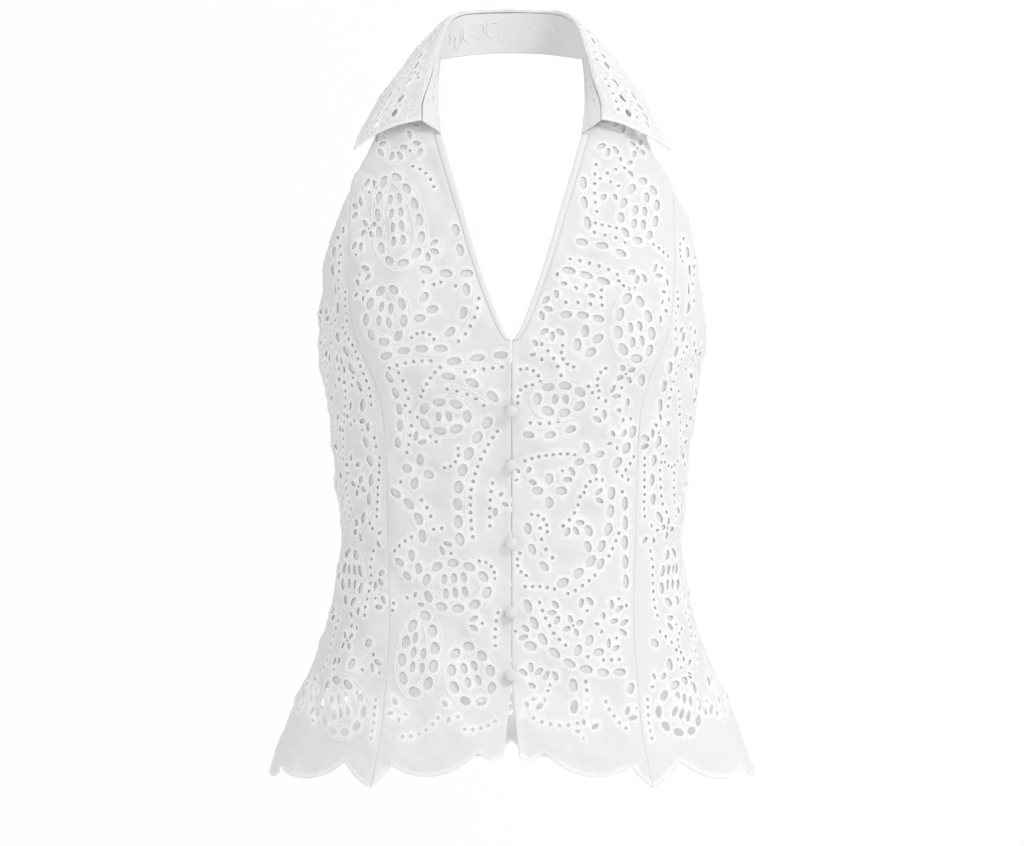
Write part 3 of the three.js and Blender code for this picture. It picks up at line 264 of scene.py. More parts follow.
class BodyForm:
    """The filled-out form that the panels of the body follow."""

    STEPS = 120
    REACH = math.pi / 2 * 1.04

    def __init__(self) -> None:
        """Measures lengths round every section, from the centre front and the centre back."""
        self.heights = np.arange(-6.0, 562.0, 2.0)
        self.shares = np.linspace(0, self.REACH, self.STEPS + 1)
        self.lengths: dict = {}
        for start in (0.0, math.pi):
            for side in (1, -1):
                turns = side * (self.shares if start == 0 else start - self.shares)
                grid = np.broadcast_arrays(turns[None, :], self.heights[:, None])
                points = self.face(grid[0], grid[1])
                gaps = np.linalg.norm(np.diff(points, axis=1), axis=2)
                table = np.concatenate([np.zeros((len(gaps), 1)), np.cumsum(gaps, axis=1)], axis=1)
                self.lengths[(start, side)] = table

    def face(self, turn: Array, height: Array) -> Array:
        """Points of the outer face.

        Args:
            turn: turn from the centre front, in radians, over 0 on the picture's right.
            height: height above the hem.

        Returns:
            Rows of x, y and height.
        """
        half, front, back, centre = (column_at(SECTIONS, height, i) for i in (1, 2, 3, 4))
        sine, cosine = np.sin(turn), np.cos(turn)
        power = 1 - SQUARENESS
        x = np.sign(sine) * np.abs(sine) ** power
        y = -np.sign(cosine) * np.abs(cosine) ** power
        depth = np.where(cosine > 0, front, back)
        swell = BUST["fullness"] * np.exp(-(((height - BUST["height"]) / BUST["rise"]) ** 2))
        swell = swell * np.exp(-(((np.abs(turn) - BUST["angle"]) / BUST["spread"]) ** 2))
        fade = np.clip(1 - height / FLUTES["reach"], 0, 1) ** 2
        swell = swell + FLUTES["depth"] * fade * np.cos(FLUTES["count"] * turn + FLUTES["phase"])
        parts = [x * half + swell * sine, centre + y * depth - swell * cosine, height + 0 * x]
        return np.stack(parts, axis=-1)

    def cloth(self, turn: Array, height: Array, out: Array) -> Array:
        """Points at a distance out from the outer face.

        Args:
            turn: turn from the centre front.
            height: height above the hem.
            out: distance out.

        Returns:
            Rows of x, y and height.
        """
        across = self.face(turn + 0.01, height) - self.face(turn - 0.01, height)
        upward = self.face(turn, height + 1) - self.face(turn, height - 1)
        normal = unit(np.cross(across, upward))
        return self.face(turn, height) + normal * np.asarray(out)[..., None]

    def _rows(self, height: Array) -> tuple:
        """Rows of the length tables below some heights, and how far each is towards the next."""
        place = (np.clip(height, self.heights[0], self.heights[-1] - 1e-6) - self.heights[0]) / 2.0
        row = np.floor(place).astype(int)
        return row, place - row

    def turn_at(self, along: Array, height: Array, start: float = 0.0) -> Array:
        """Turn that a length round the cloth reaches.

        Args:
            along: length from the centre, over 0 on the picture's right.
            height: height above the hem.
            start: 0 from the centre front or pi from the centre back.

        Returns:
            The turns from the centre front.
        """
        along, height = np.broadcast_arrays(np.asarray(along, float), np.asarray(height, float))
        row, part = self._rows(height)
        share = np.zeros_like(along)
        side = np.where(along < 0, -1, 1)
        for sign in (1, -1):
            table = self.lengths[(start, sign)]
            for r in np.unique(row[side == sign]):
                pick = (row == r) & (side == sign)
                low = np.interp(np.abs(along[pick]), table[r], self.shares)
                high = np.interp(np.abs(along[pick]), table[r + 1], self.shares)
                share[pick] = low + (high - low) * part[pick]
        return side * (share if start == 0 else start - share)

    def along_at(self, turn: Array, height: Array, start: float = 0.0) -> Array:
        """Length round the cloth at a turn.

        Args:
            turn: turn from the centre front.
            height: height above the hem.
            start: 0 from the centre front or pi from the centre back.

        Returns:
            The lengths, over 0 on the picture's right.
        """
        turn, height = np.broadcast_arrays(np.asarray(turn, float), np.asarray(height, float))
        row, part = self._rows(height)
        size = np.abs(turn) if start == 0 else start - np.abs(turn)
        out = np.zeros_like(size)
        for k in np.ndindex(size.shape):
            table = self.lengths[(start, -1 if turn[k] < 0 else 1)]
            low = np.interp(size[k], self.shares, table[row[k]])
            high = np.interp(size[k], self.shares, table[row[k] + 1])
            out[k] = low + (high - low) * part[k]
        return np.where(turn < 0, -out, out)

    def along_of_half(self, half: Array, height: Array) -> Array:
        """Length round the cloth where a line seen from the front crosses it.

        Args:
            half: distance from the middle, seen from the front.
            height: height above the hem.

        Returns:
            The lengths, over 0 on the picture's right.
        """
        half, height = np.broadcast_arrays(np.asarray(half, float), np.asarray(height, float))
        side = np.where(half < 0, -1.0, 1.0)
        low, high = np.zeros_like(half), np.full_like(half, math.pi / 2)
        for _ in range(30):
            middle = (low + high) / 2
            short = np.abs(self.face(side * middle, height)[..., 0]) < np.abs(half)
            low, high = np.where(short, middle, low), np.where(short, high, middle)
        return self.along_at(side * low, height)


class CollarForm:
    """The roll line, stand and leaf of the collar."""

    def __init__(self, body: BodyForm) -> None:
        """Lays out the collar's rows from the centre back to the front.

        Args:
            body: the form that the stand is sewn to.
        """
        heights = STAND_FRONT[:, 0]
        along = body.along_of_half(column_at(NECKLINE, heights), heights)
        lift = np.full_like(heights, STAND_LIFT)
        front = body.cloth(body.turn_at(along, heights), heights, lift)
        self.feet = self._extended(np.concatenate([front, STAND_BACK[:, :3]]))
        self.rolls = self._extended(np.concatenate([STAND_FRONT[:, 1:], STAND_BACK[:, 3:]]))
        self.edges = self._extended(LEAF_EDGE)
        self.last = len(LEAF_EDGE) - 1
        places = -np.linspace(0, self.last, COLLAR_STEPS + 1)
        line = self._at(self.rolls, places)
        gaps = np.linalg.norm(np.diff(line, axis=0), axis=1)
        self.lengths = np.concatenate([[0.0], np.cumsum(gaps)])
        self.reach = float(self.lengths[-1])

    @staticmethod
    def _extended(rows: Array) -> Array:
        """Rows from the centre back, with one more past each end."""
        back = rows[::-1]
        before = back[1] * np.array([-1, 1, 1])
        after = 2 * back[-1] - back[-2]
        return np.concatenate([[before], back, [after]])

    def _at(self, rows: Array, place: Array) -> Array:
        """Points of a smooth line through a table's points.

        Args:
            rows: an extended table.
            place: place in the table from the centre back, over 0 on the picture's left.

        Returns:
            Rows of x, y and height.
        """
        size = np.minimum(np.abs(place), self.last)
        i = np.minimum(np.floor(size).astype(int), self.last - 1)
        t = (size - i)[..., None]
        p, q, r, s = (rows[i + k] for k in range(4))
        point = (
            p * (-0.5 * t + t**2 - 0.5 * t**3)
            + q * (1 - 2.5 * t**2 + 1.5 * t**3)
            + r * (0.5 * t + 2 * t**2 - 1.5 * t**3)
            + s * (-0.5 * t**2 + 0.5 * t**3)
        )
        flip = np.where(place > 0, -1.0, 1.0)
        point[..., 0] *= flip
        return point

    def _place(self, along: Array) -> Array:
        """Place in the tables of a length along the roll line."""
        size = np.clip(np.abs(along), 0, self.reach)
        place = np.interp(size, self.lengths, np.linspace(0, self.last, COLLAR_STEPS + 1))
        return np.sign(along) * place

    def stand_middle(self, along: Array, down: Array) -> Array:
        """Middle of the stand's cloth, a distance down from the roll line."""
        place = self._place(along)
        foot, roll = self._at(self.feet, place), self._at(self.rolls, place)
        return roll + (foot - roll) * (down / STAND_FLAT)[..., None]

    def leaf_section(self, along: Array) -> tuple:
        """Section of the leaf at a length along the roll line.

        Args:
            along: length from the centre back.

        Returns:
            Start, rise, side, sweep, bend, edge, outward direction and width.
        """
        place = self._place(along)
        foot, roll, edge = (self._at(rows, place) for rows in (self.feet, self.rolls, self.edges))
        rise = unit(roll - foot)
        start = roll + rise * ROLL_GAP
        fall = unit(edge - start)
        dot = np.sum(rise * fall, axis=-1, keepdims=True)
        sweep = np.arccos(np.clip(dot, -1, 1))
        side = unit(fall - rise * dot)
        bend = start + LEAF_ROLL * (rise * np.sin(sweep) + side * (1 - np.cos(sweep)))
        outward = rise * np.sin(sweep) - side * np.cos(sweep)
        width = LEAF_ROLL * sweep[..., 0] + np.linalg.norm(edge - bend, axis=-1)
        return start, rise, side, sweep, bend, edge, outward, width

    def leaf_middle(self, along: Array, down: Array) -> Array:
        """Middle of the leaf's cloth.

        Args:
            along: length from the centre back.
            down: distance down from the roll line.

        Returns:
            Rows of x, y and height.
        """
        start, rise, side, sweep, bend, edge, outward, width = self.leaf_section(along)
        turn = LEAF_ROLL * sweep[..., 0]
        angle = (np.minimum(down, turn) / LEAF_ROLL)[..., None]
        rolled = start + LEAF_ROLL * (rise * np.sin(angle) + side * (1 - np.cos(angle)))
        t = np.clip((down - turn) / (width - turn), 0, 1)[..., None]
        fallen = bend + (edge - bend) * t + outward * LEAF_BELLY * 4 * t * (1 - t)
        return np.where((down < turn)[..., None], rolled, fallen)

    def off(self, middle: Callable, along: Array, down: Array, out: Array, reach: Array) -> Array:
        """Points off the middle of a strip.

        Args:
            middle: stand_middle or leaf_middle.
            along: length from the centre back.
            down: distance down from the roll line.
            out: distance out.
            reach: width of the strip.

        Returns:
            Rows of x, y and height.
        """
        step = 0.4
        near = np.clip(along, -self.reach + step, self.reach - step)
        level = np.clip(down, step, reach - step)
        across = middle(near + step, level) - middle(near - step, level)
        fall = middle(near, level - step) - middle(near, level + step)
        return middle(along, down) + unit(np.cross(across, fall)) * np.asarray(out)[..., None]


PITCH_GAP = 2.7
DOT = 2.7


def chain(x: float, height: float, end: float, end_height: float, bow: float, *size: float) -> Motif:
    """Eyelets of a length and a width along a bowed line."""
    return Motif(Kind.CHAIN, x, height, (end, end_height), bow, long=size[0], wide=size[1])


def ring(x: float, height: float, across: float, up: float, long: float, wide: float, *form: float) -> Motif:
    """Eyelets round an oval, whose form is its turn, pinch and curl."""
    turn, pinch, curl = (*form, 0, 0, 0)[:3]
    return Motif(Kind.RING, x, height, (0, 0), 0, across, up, turn, pinch, curl, long=long, wide=wide)


def rosette(x: float, height: float, across: float, long: float, wide: float, turn: float = 0) -> Motif:
    """Four petals."""
    return Motif(Kind.ROSETTE, x, height, across=across, turn=turn, count=4, long=long, wide=wide)


def leaves(x: float, height: float, count: int, step: float, *rest: float) -> Motif:
    """Pairs of leaves on a stem: how many, their step, spread, turn, length and width."""
    spread, turn, long, wide = rest
    return Motif(Kind.LEAF, x, height, turn=turn, count=count, step=step, spread=spread, long=long, wide=wide)


def dots(*rows: tuple) -> list:
    """Lines of round eyelets, from rows of two ends and a bow, and a size where it isn't DOT."""
    return [chain(*row[:5], *(row[5:] or (DOT,)) * 2) for row in rows]


RIGHT_FRONT_CHART = (
    chain(54.5, 470, 56, 424, -2, 10, 5.4), ring(95, 434, 17, 23, 8.6, 5.6, -8, 0.3, 0.1),
    chain(52, 410, 80, 401, 1, 9.4, 5.4), chain(42, 388, 68, 381, 1, 10.4, 5.4),
    ring(91, 347, 16.5, 23, 9.6, 6.8, 8, 0.35), leaves(56, 336, 2, 11.5, 5.6, -30, 9.2, 6),
    chain(40, 356, 64, 353, 1, 9, 5.2), ring(36, 294, 17, 10.5, 9.6, 6.4),
    chain(12.5, 268, 44, 271, -2, 8.6, 5.6), chain(96, 308, 78, 247, 6, 9.6, 6.2),
    rosette(28, 226, 8.8, 8.6, 6.2), chain(74, 224, 38, 158, 13, 9.8, 6.6),
    chain(85, 216, 85, 158, 0, 10.4, 5.2), leaves(62, 184, 3, 12, 6, -4, 9, 5.4),
    chain(12, 141, 80, 92, -17, 9.8, 5.8), leaves(52, 104, 3, 11.5, 5.6, -52, 8.8, 5.8),
    chain(14, 112, 46, 68, 12, 9.6, 6.2), rosette(58, 250, 8.4, 7.8, 5.4, 20),
    chain(12, 198, 24, 170, -3, 8.6, 5.6), chain(88, 128, 88, 80, 3, 9, 5.6),
    *dots(
        (62, 424, 116, 400, 3), (66, 374, 70, 352, -2), (10, 248, 52, 252, 3), (10, 155, 42, 150, 2),
        (22, 334, 36, 312, 2), (56, 304, 70, 292, -2), (92, 232, 78, 240, 1), (50, 222, 38, 200, 3),
        (84, 140, 96, 146, 1), (16, 60, 48, 56, -3, 2.9), (70, 72, 84, 52, -2, 2.9), (66, 458, 84, 466, 2),
    ),
)
LEFT_FRONT_CHART = (
    ring(84, 427, 21, 34, 9.4, 5.8, -6, 0.35, 0.15), chain(45, 448, 38, 404, 1, 9.4, 5.6),
    chain(33, 386, 63, 389, -1, 9.8, 6), ring(93, 356, 18, 20, 9.2, 6, 10, 0.3),
    chain(33, 374, 45, 343, -4, 9, 5.6), leaves(66, 361, 2, 11.5, 5.4, 55, 9, 5.8),
    chain(52, 331, 92, 326, 2, 10.4, 5.4), chain(8, 326, 42, 322, 0, 10.8, 5.6),
    chain(14, 296, 46, 311, 3, 10.4, 6), ring(50, 281, 17.5, 11, 10, 6.4),
    chain(18, 276, 38, 190, 10, 9.8, 7), rosette(70, 240, 9, 8.8, 6.4, 14),
    chain(86, 224, 66, 192, -5, 10, 6.4), ring(40, 156, 26, 17, 9.2, 6.2, -6, 0.2, 0.2),
    ring(68, 106, 15, 28, 9.6, 6.8, 6, 0.35), ring(30, 92, 17, 21, 8.6, 6.4, -16, 0.3),
    chain(90, 310, 84, 262, -4, 8.8, 5.4), leaves(76, 170, 2, 11.5, 5.4, -30, 8.4, 5.4),
    *dots(
        (52, 380, 18, 396, -1), (52, 318, 70, 280, 4), (84, 300, 56, 262, 3), (92, 214, 112, 222, 2),
        (14, 232, 16, 200, 1), (52, 198, 90, 176, 5), (86, 258, 78, 254, 0), (10, 136, 12, 112, 1),
        (88, 142, 90, 120, 0), (54, 60, 80, 46, -4, 2.9), (12, 58, 34, 52, -2, 2.9), (58, 452, 74, 468, 3),
    ),
)
SIDE_FRONT_CHART = (
    chain(148, 404, 151, 362, 2, 8.8, 5.6), chain(146, 340, 120, 289, -6, 9.2, 5.8),
    chain(117, 262, 120, 205, -6, 9.2, 5.6), ring(136, 160, 14, 20, 8.8, 5.8, 0, 0.3),
    ring(134, 66, 24, 19, 9.2, 6, -14, 0.3, 0.25), chain(112, 112, 126, 96, 2, 8.6, 5.4),
    *dots(
        (128, 400, 136, 352, 2), (140, 300, 146, 258, 2), (104, 250, 106, 206, 0), (112, 180, 116, 132, 0),
        (104, 72, 106, 44, -1, 2.9), (150, 132, 162, 92, 2), (140, 238, 146, 200, -2),
    ),
)
CENTRE_BACK_CHART = (
    ring(40, 262, 18, 27, 9.4, 6.1, -6, 0.35, 0.15), ring(36, 180, 18, 14, 9.2, 6.1, 0, 0.2),
    ring(52, 92, 20, 26, 9.4, 6.3, -8, 0.3, 0.2), chain(10, 300, 10, 232, 2, 9.2, 5.6),
    chain(8, 150, 34, 120, -4, 9.4, 5.8), chain(10, 210, 56, 214, 3, 9, 5.6),
    chain(70, 150, 78, 118, 2, 8.6, 5.4), rosette(20, 84, 8.8, 8.6, 6),
    *dots(
        (66, 226, 70, 196, 1), (12, 66, 30, 50, -2, 2.9), (60, 300, 72, 262, 3),
    ),
)
SIDE_BACK_CHART = (
    chain(140, 190, 124, 130, 6, 9.4, 5.9), chain(122, 300, 118, 246, 3, 9, 5.6),
    ring(148, 236, 15, 20, 9, 5.8, 4, 0.3), ring(150, 72, 20, 20, 9.2, 6, 6, 0.3, 0.2),
    chain(112, 112, 124, 74, 3, 9, 5.6),
    *dots(
        (150, 300, 156, 266, 2), (116, 226, 120, 196, 1),
    ),
)
# Places on the leaf are along the roll from its front edge and down from the roll
LEAF_CHART = (
    chain(13, 22, 42, 20, 0, 7.7, 5.2), chain(11, 38, 42, 37, 2, 7.7, 5.2),
    chain(58, 17, 92, 14, 1, 7.4, 4.8), chain(104, 12, 140, 11, 1, 7, 4.4),
    *dots(
        (54, 30, 84, 26, 1),
    ),
)

OVAL_CORNERS = 14
DOT_CORNERS = 8
DOT_LIMIT = 3.0


def oval_path(motif: Motif, centre: Array) -> Array:
    """Closed line of a ring: an oval that narrows to a drop and curls at its top.

    Args:
        motif: the ring.
        centre: its place on the flat cloth.

    Returns:
        241 points, the last on the first.
    """
    angle = np.linspace(0, 2 * math.pi, 241)
    lift = (1 + np.sin(angle)) / 2
    x = motif.across * (np.cos(angle) * (1 - motif.pinch * lift) + motif.curl * lift**2)
    y = motif.up * np.sin(angle)
    turn = math.radians(motif.turn)
    turned = np.stack([x * math.cos(turn) - y * math.sin(turn), x * math.sin(turn) + y * math.cos(turn)], 1)
    return centre + turned


def bowed_path(start: Array, end: Array, bow: float) -> Array:
    """Open line of a chain.

    Args:
        start: one end.
        end: the other end.
        bow: how far the middle stands off the straight line.

    Returns:
        81 points.
    """
    t = np.linspace(0, 1, 81)[:, None]
    across = np.array([start[1] - end[1], end[0] - start[0]]) / max(np.linalg.norm(end - start), 1e-9)
    return start + (end - start) * t + across * bow * 4 * t * (1 - t)


def beside(path: Array, distance: float) -> Array:
    """Line at a distance to the left of another."""
    along = unit(np.gradient(path, axis=0))
    return path + np.stack([-along[:, 1], along[:, 0]], axis=1) * distance


def spread_on(path: Array, count: int, closed: bool) -> Array:
    """Places set evenly along a line.

    Args:
        path: points of the line.
        count: how many places.
        closed: whether the line is a ring.

    Returns:
        Rows of x, y and angle.
    """
    gaps = np.linalg.norm(np.diff(path, axis=0), axis=1)
    lengths = np.concatenate([[0.0], np.cumsum(gaps)])
    share = (np.arange(count) + 0.5) / count if closed else np.linspace(0, 1, max(count, 2))
    wanted = share * lengths[-1]
    spots = np.stack([np.interp(wanted, lengths, path[:, k]) for k in (0, 1)], axis=1)
    slope = np.gradient(path, axis=0)
    lean = np.stack([np.interp(wanted, lengths, slope[:, k]) for k in (0, 1)], axis=1)
    return np.column_stack([spots, np.arctan2(lean[:, 1], lean[:, 0])])


class Embroidery:
    """Eyelets and satin cords on one flat piece of cloth."""

    def __init__(self, border: Array, margin: float = 1.5) -> None:
        """Starts with plain cloth.

        Args:
            border: corners of the piece.
            margin: clear cloth between an opening and the border.
        """
        self.border = border
        self.margin = margin
        self.holes: list = []
        self.cords: list = []
        self.circles = np.zeros((0, 3))

    @staticmethod
    def _circles(hole: Sequence[float]) -> Array:
        """Three circles that fill an eyelet, as rows of x, y and radius."""
        x, y, angle, long, wide = hole
        reach = max(0.0, long / 2 - wide / 2)
        way = np.array([math.cos(angle), math.sin(angle)]) * reach
        spots = [np.array([x, y]) + way * k for k in (-1, 0, 1)]
        return np.array([[*spot, wide / 2] for spot in spots])

    def clear(self, hole: Sequence[float], gap: float = 1.25) -> bool:
        """Whether an eyelet is on the cloth and clear of the others.

        Args:
            hole: x, y, angle, length and width.
            gap: least cloth between two openings.

        Returns:
            True if it can be worked there.
        """
        circles = self._circles(hole)
        if len(self.circles):
            away = np.linalg.norm(self.circles[None, :, :2] - circles[:, None, :2], axis=2)
            if np.any(away - self.circles[None, :, 2] - circles[:, None, 2] < gap):
                return False
        if not np.all(inside(circles[:, :2], self.border)):
            return False
        return bool(np.all(border_distance(circles[:, :2], self.border) > circles[:, 2] + self.margin))

    def add(self, hole: Sequence[float], gap: float = 1.25) -> bool:
        """Works an eyelet if its place is clear.

        Args:
            hole: x, y, angle, length and width.
            gap: least cloth between two openings.

        Returns:
            True if it was worked.
        """
        if not self.clear(hole, gap):
            return False
        self.holes.append(tuple(float(v) for v in hole))
        self.circles = np.concatenate([self.circles, self._circles(hole)])
        return True

    def dots(self, path: Array) -> None:
        """Works a line of small round eyelets.

        Args:
            path: points of the line.
        """
        length = float(np.sum(np.linalg.norm(np.diff(path, axis=0), axis=1)))
        for x, y, _ in spread_on(path, int(length / 5.5), False):
            self.add((x, y, 0.0, 2.8, 2.8), 1.7)

    def cord(self, path: Array, width: float = 1.2) -> None:
        """Works a raised satin cord, broken where it would cross an eyelet.

        Args:
            path: points of the line.
            width: width of the cord.
        """
        count = max(3, int(np.sum(np.linalg.norm(np.diff(path, axis=0), axis=1)) / 1.6))
        spots = spread_on(path, count, False)[:, :2]
        free = inside(spots, self.border) & (border_distance(spots, self.border) > width)
        if len(self.circles):
            away = np.linalg.norm(self.circles[None, :, :2] - spots[:, None, :], axis=2)
            free &= np.all(away - self.circles[None, :, 2] > width * 0.55, axis=1)
        run: list = []
        for spot, open_ in zip(spots, free):
            if open_:
                run.append(spot)
            elif len(run) > 3:
                self.cords.append((np.array(run), width))
                run = []
            else:
                run = []
        if len(run) > 3:
            self.cords.append((np.array(run), width))

    def chart(self, rows: Sequence[Motif], side: int, find: Callable) -> list:
        """Works a chart's motifs on one side.

        Args:
            rows: the motifs.
            side: 1 on the right of the flat, -1 on its left.
            find: gives the flat's x from a motif's x and height.

        Returns:
            The lines of each motif, for its cords.
        """
        lines = []
        for row in rows:
            start = np.array([abs(find(side * row.x, row.height)) * (1 if row.x >= 0 else -1), row.height])
            closed = row.kind is Kind.RING
            if row.kind is Kind.CHAIN:
                end = np.array([abs(find(side * row.to[0], row.to[1])), row.to[1]])
                path = bowed_path(start, end, row.bow)
            elif closed:
                path = oval_path(row, start)
            else:
                path = None
            if path is None:
                spots = self._petals(row, start)
            else:
                length = float(np.sum(np.linalg.norm(np.diff(path, axis=0), axis=1)))
                pitch = row.long + PITCH_GAP
                count = int(length / pitch) if closed else int(length / pitch) + 1
                spots = spread_on(path, count, closed)
                lines.append((row, path * np.array([side, 1]), closed))
            for x, y, angle in spots:
                tilt = angle if side > 0 else math.pi - angle
                self.add((side * x, y, tilt, row.long, row.wide))
        return lines

    @staticmethod
    def _petals(row: Motif, centre: Array) -> Array:
        """Places of a rosette's petals or of a leaf's pairs.

        Args:
            row: the motif.
            centre: its place on the flat cloth.

        Returns:
            Rows of x, y and angle.
        """
        spots = []
        if row.kind is Kind.ROSETTE:
            for i in range(row.count):
                angle = math.radians(row.turn) + math.pi / 2 + 2 * math.pi * i / row.count
                way = np.array([math.cos(angle), math.sin(angle)])
                spots.append((*(centre + way * row.across), angle))
            return np.array(spots)
        stem = math.pi / 2 + math.radians(row.turn)
        up, left = np.array([math.cos(stem), math.sin(stem)]), np.array([-math.sin(stem), math.cos(stem)])
        for i in range(row.count):
            for side in (1, -1):
                place = centre + up * (i - (row.count - 1) / 2) * row.step + left * side * row.spread
                spots.append((*place, stem + side * 0.45))
        return np.array(spots)

    def dress(self, lines: Sequence[tuple]) -> None:
        """Adds the drops inside rings and the satin cords along chains and rings.

        Args:
            lines: what chart returned.
        """
        for row, path, closed in lines:
            if closed and row.across > 13:
                self._drops(row, path.mean(axis=0))
        for row, path, closed in lines:
            if row.wide < 4:
                continue
            flip = 1.0 if closed and side_of(path) > 0 else -1.0
            self.cord(beside(path, -flip * (row.wide / 2 + 2.5)))
            if closed:
                self.cord(beside(path, flip * (row.wide / 2 + 2.5)))
            else:
                self.dots(beside(path, -flip * (row.wide / 2 + 6.2)))

    def _drops(self, row: Motif, centre: Array) -> None:
        """Works two columns of drop-shaped eyelets inside a ring.

        Args:
            row: the ring.
            centre: its place on the flat cloth.
        """
        turn = math.radians(row.turn) * (1 if centre[0] >= 0 else -1)
        up = np.array([-math.sin(turn), math.cos(turn)])
        left = np.array([math.cos(turn), math.sin(turn)])
        rows = max(1, int((row.up - 4.5) / 6))
        for i in range(rows):
            for side in (-1, 0, 1) if row.across > 21 else (-1, 1):
                spread = 7.4 if row.across > 21 else 3.9
                place = centre + up * (i - (rows - 1) / 2) * 10.6 + left * side * spread
                tilt = math.pi / 2 + turn + side * 0.12
                self.add((*place, tilt, 7.8, 4.6), 1.3)

    def fill(self, pitch: float, seed: int, lowest: float = -99.0) -> None:
        """Fills what is bare with small sprigs: fans, flowers, curls, leaf pairs and arcs of dots.

        Args:
            pitch: distance between sprigs.
            seed: seed of their places.
            lowest: height below which the cloth stays plain.
        """
        chance = np.random.default_rng(seed)
        low, high = self.border.min(axis=0), self.border.max(axis=0)
        spots = []
        for i, y in enumerate(np.arange(low[1] + 6, high[1], pitch * 0.87)):
            for x in np.arange(low[0] + 4 + (i % 2) * pitch / 2, high[0], pitch):
                spots.append(tuple(v + chance.uniform(-1, 1) * pitch * SPRIG_STRAY for v in (x, y)))
        chance.shuffle(spots)
        makers = (self._fan, self._flower, self._curl, self._pair, self._curl)
        for k, spot in enumerate(spots):
            if spot[1] < lowest:
                continue
            angle = chance.uniform(0, 2 * math.pi)
            for maker in (makers[k % 5], makers[(k + 3) % 5], self._arc):
                if maker(np.array(spot), angle):
                    break

    def swirls(self, spots: Sequence[tuple], seed: int) -> None:
        """Works open rings of satin stitch.

        Args:
            spots: their middles.
            seed: seed of their turns.
        """
        chance = np.random.default_rng(seed)
        for spot in spots:
            arc = chance.uniform(0, 6.28) + np.linspace(0, 4.4, 16)
            size = np.linspace(3.4, 6.2, 16)
            self.cord(np.array(spot) + np.stack([np.cos(arc), np.sin(arc)], axis=1) * size[:, None], 1.5)

    def _all(self, holes: Sequence[tuple], gap: float = 1.2) -> bool:
        """Works a group of eyelets, or none if one of them isn't clear.

        Args:
            holes: the eyelets.
            gap: least cloth between two openings.

        Returns:
            True if they were worked.
        """
        if not all(self.clear(hole, gap) for hole in holes):
            return False
        for hole in holes:
            self.add(hole, 0.0)
        return True

    def _fan(self, centre: Array, angle: float) -> bool:
        """Three petals with a cord at their tips.

        Args:
            centre: place of the fan's foot.
            angle: its direction.

        Returns:
            True if it was worked.
        """
        holes = []
        for k in (-1, 0, 1):
            way = angle + k
            place = centre + np.array([math.cos(way), math.sin(way)]) * 7.0
            holes.append((*place, way, 7.0, 4.0))
        if not self._all(holes):
            return False
        arc = np.linspace(angle - 1.15, angle + 1.15, 30)
        self.cord(centre + np.stack([np.cos(arc), np.sin(arc)], axis=1) * 12.6)
        return True

    def _flower(self, centre: Array, angle: float) -> bool:
        """Four petals round a dot.

        Args:
            centre: place of the flower.
            angle: its turn.

        Returns:
            True if it was worked.
        """
        holes = [(*centre, 0.0, 2.2, 2.2)]
        for k in range(4):
            way = angle + math.pi * k / 2
            place = centre + np.array([math.cos(way), math.sin(way)]) * 5.4
            holes.append((*place, way, 5.8, 3.9))
        return self._all(holes, 1.0)

    def _curl(self, centre: Array, angle: float) -> bool:
        """A curl of ovals that grow towards its end.

        Args:
            centre: middle of the curl.
            angle: its turn.

        Returns:
            True if at least the larger holes were worked.
        """
        sweep = np.linspace(0, 3.9, 7)
        size = np.linspace(4.8, 2.4, 7)
        reach = np.linspace(8.2, 5.0, 7)
        spots = centre + np.stack([np.cos(angle + sweep), np.sin(angle + sweep)], axis=1) * reach[:, None]
        holes = [(*spot, angle + t, s * 1.25, s * 0.78) for spot, t, s in zip(spots, sweep, size)]
        if sum(self.clear(hole, 1.0) for hole in holes) < 6:
            return False
        for hole in holes:
            self.add(hole, 1.0)
        return True

    def _arc(self, centre: Array, angle: float) -> bool:
        """Five dots on a short arc.

        Args:
            centre: middle of the arc.
            angle: its direction.

        Returns:
            True if it was worked.
        """
        turns = angle + 0.45 * np.arange(-2, 3)
        rays = np.stack([np.cos(turns), np.sin(turns)], axis=1)
        spots = centre + rays * 11 - rays[2] * 9
        return self._all([(*spot, 0.0, 2.7, 2.7) for spot in spots], 1.4)

    def _pair(self, centre: Array, angle: float) -> bool:
        """Two leaves on a short stem.

        Args:
            centre: middle of the sprig.
            angle: its direction.

        Returns:
            True if it was worked.
        """
        way = np.array([math.cos(angle), math.sin(angle)])
        left = np.array([-way[1], way[0]])
        holes = [(*(centre + left * side * 3.4), angle + side * 0.5, 7.0, 3.7) for side in (1, -1)]
        if not self._all(holes, 1.1):
            return False
        self.add((*(centre + way * 6.6), 0.0, 2.2, 2.2), 1.0)
        self.cord(np.linspace(centre - way * 8, centre + way * 3, 12), 0.9)
        return True


def side_of(path: Array) -> float:
    """Signed area of a closed line, over 0 if it runs counter-clockwise."""
    x, y = path[:, 0], path[:, 1]
    return float(np.sum(x[:-1] * y[1:] - x[1:] * y[:-1]) / 2)


def inside(points: Array, loop: Array) -> Array:
    """Which points lie inside a loop.

    Args:
        points: rows of x and y.
        loop: corners.

    Returns:
        True for each point inside.
    """
    ends = np.roll(loop, -1, axis=0)
    rise = ends[:, 1] - loop[:, 1]
    slope = (ends[:, 0] - loop[:, 0]) / np.where(rise == 0, 1.0, rise)
    within = np.zeros(len(points), dtype=bool)
    for k in range(0, len(points), 4000):
        x, y = points[k : k + 4000, :1], points[k : k + 4000, 1:]
        spans = (ends[None, :, 1] > y) != (loop[None, :, 1] > y)
        crossing = spans & (x < loop[None, :, 0] + slope * (y - loop[None, :, 1]))
        within[k : k + 4000] = crossing.sum(axis=1) % 2 == 1
    return within


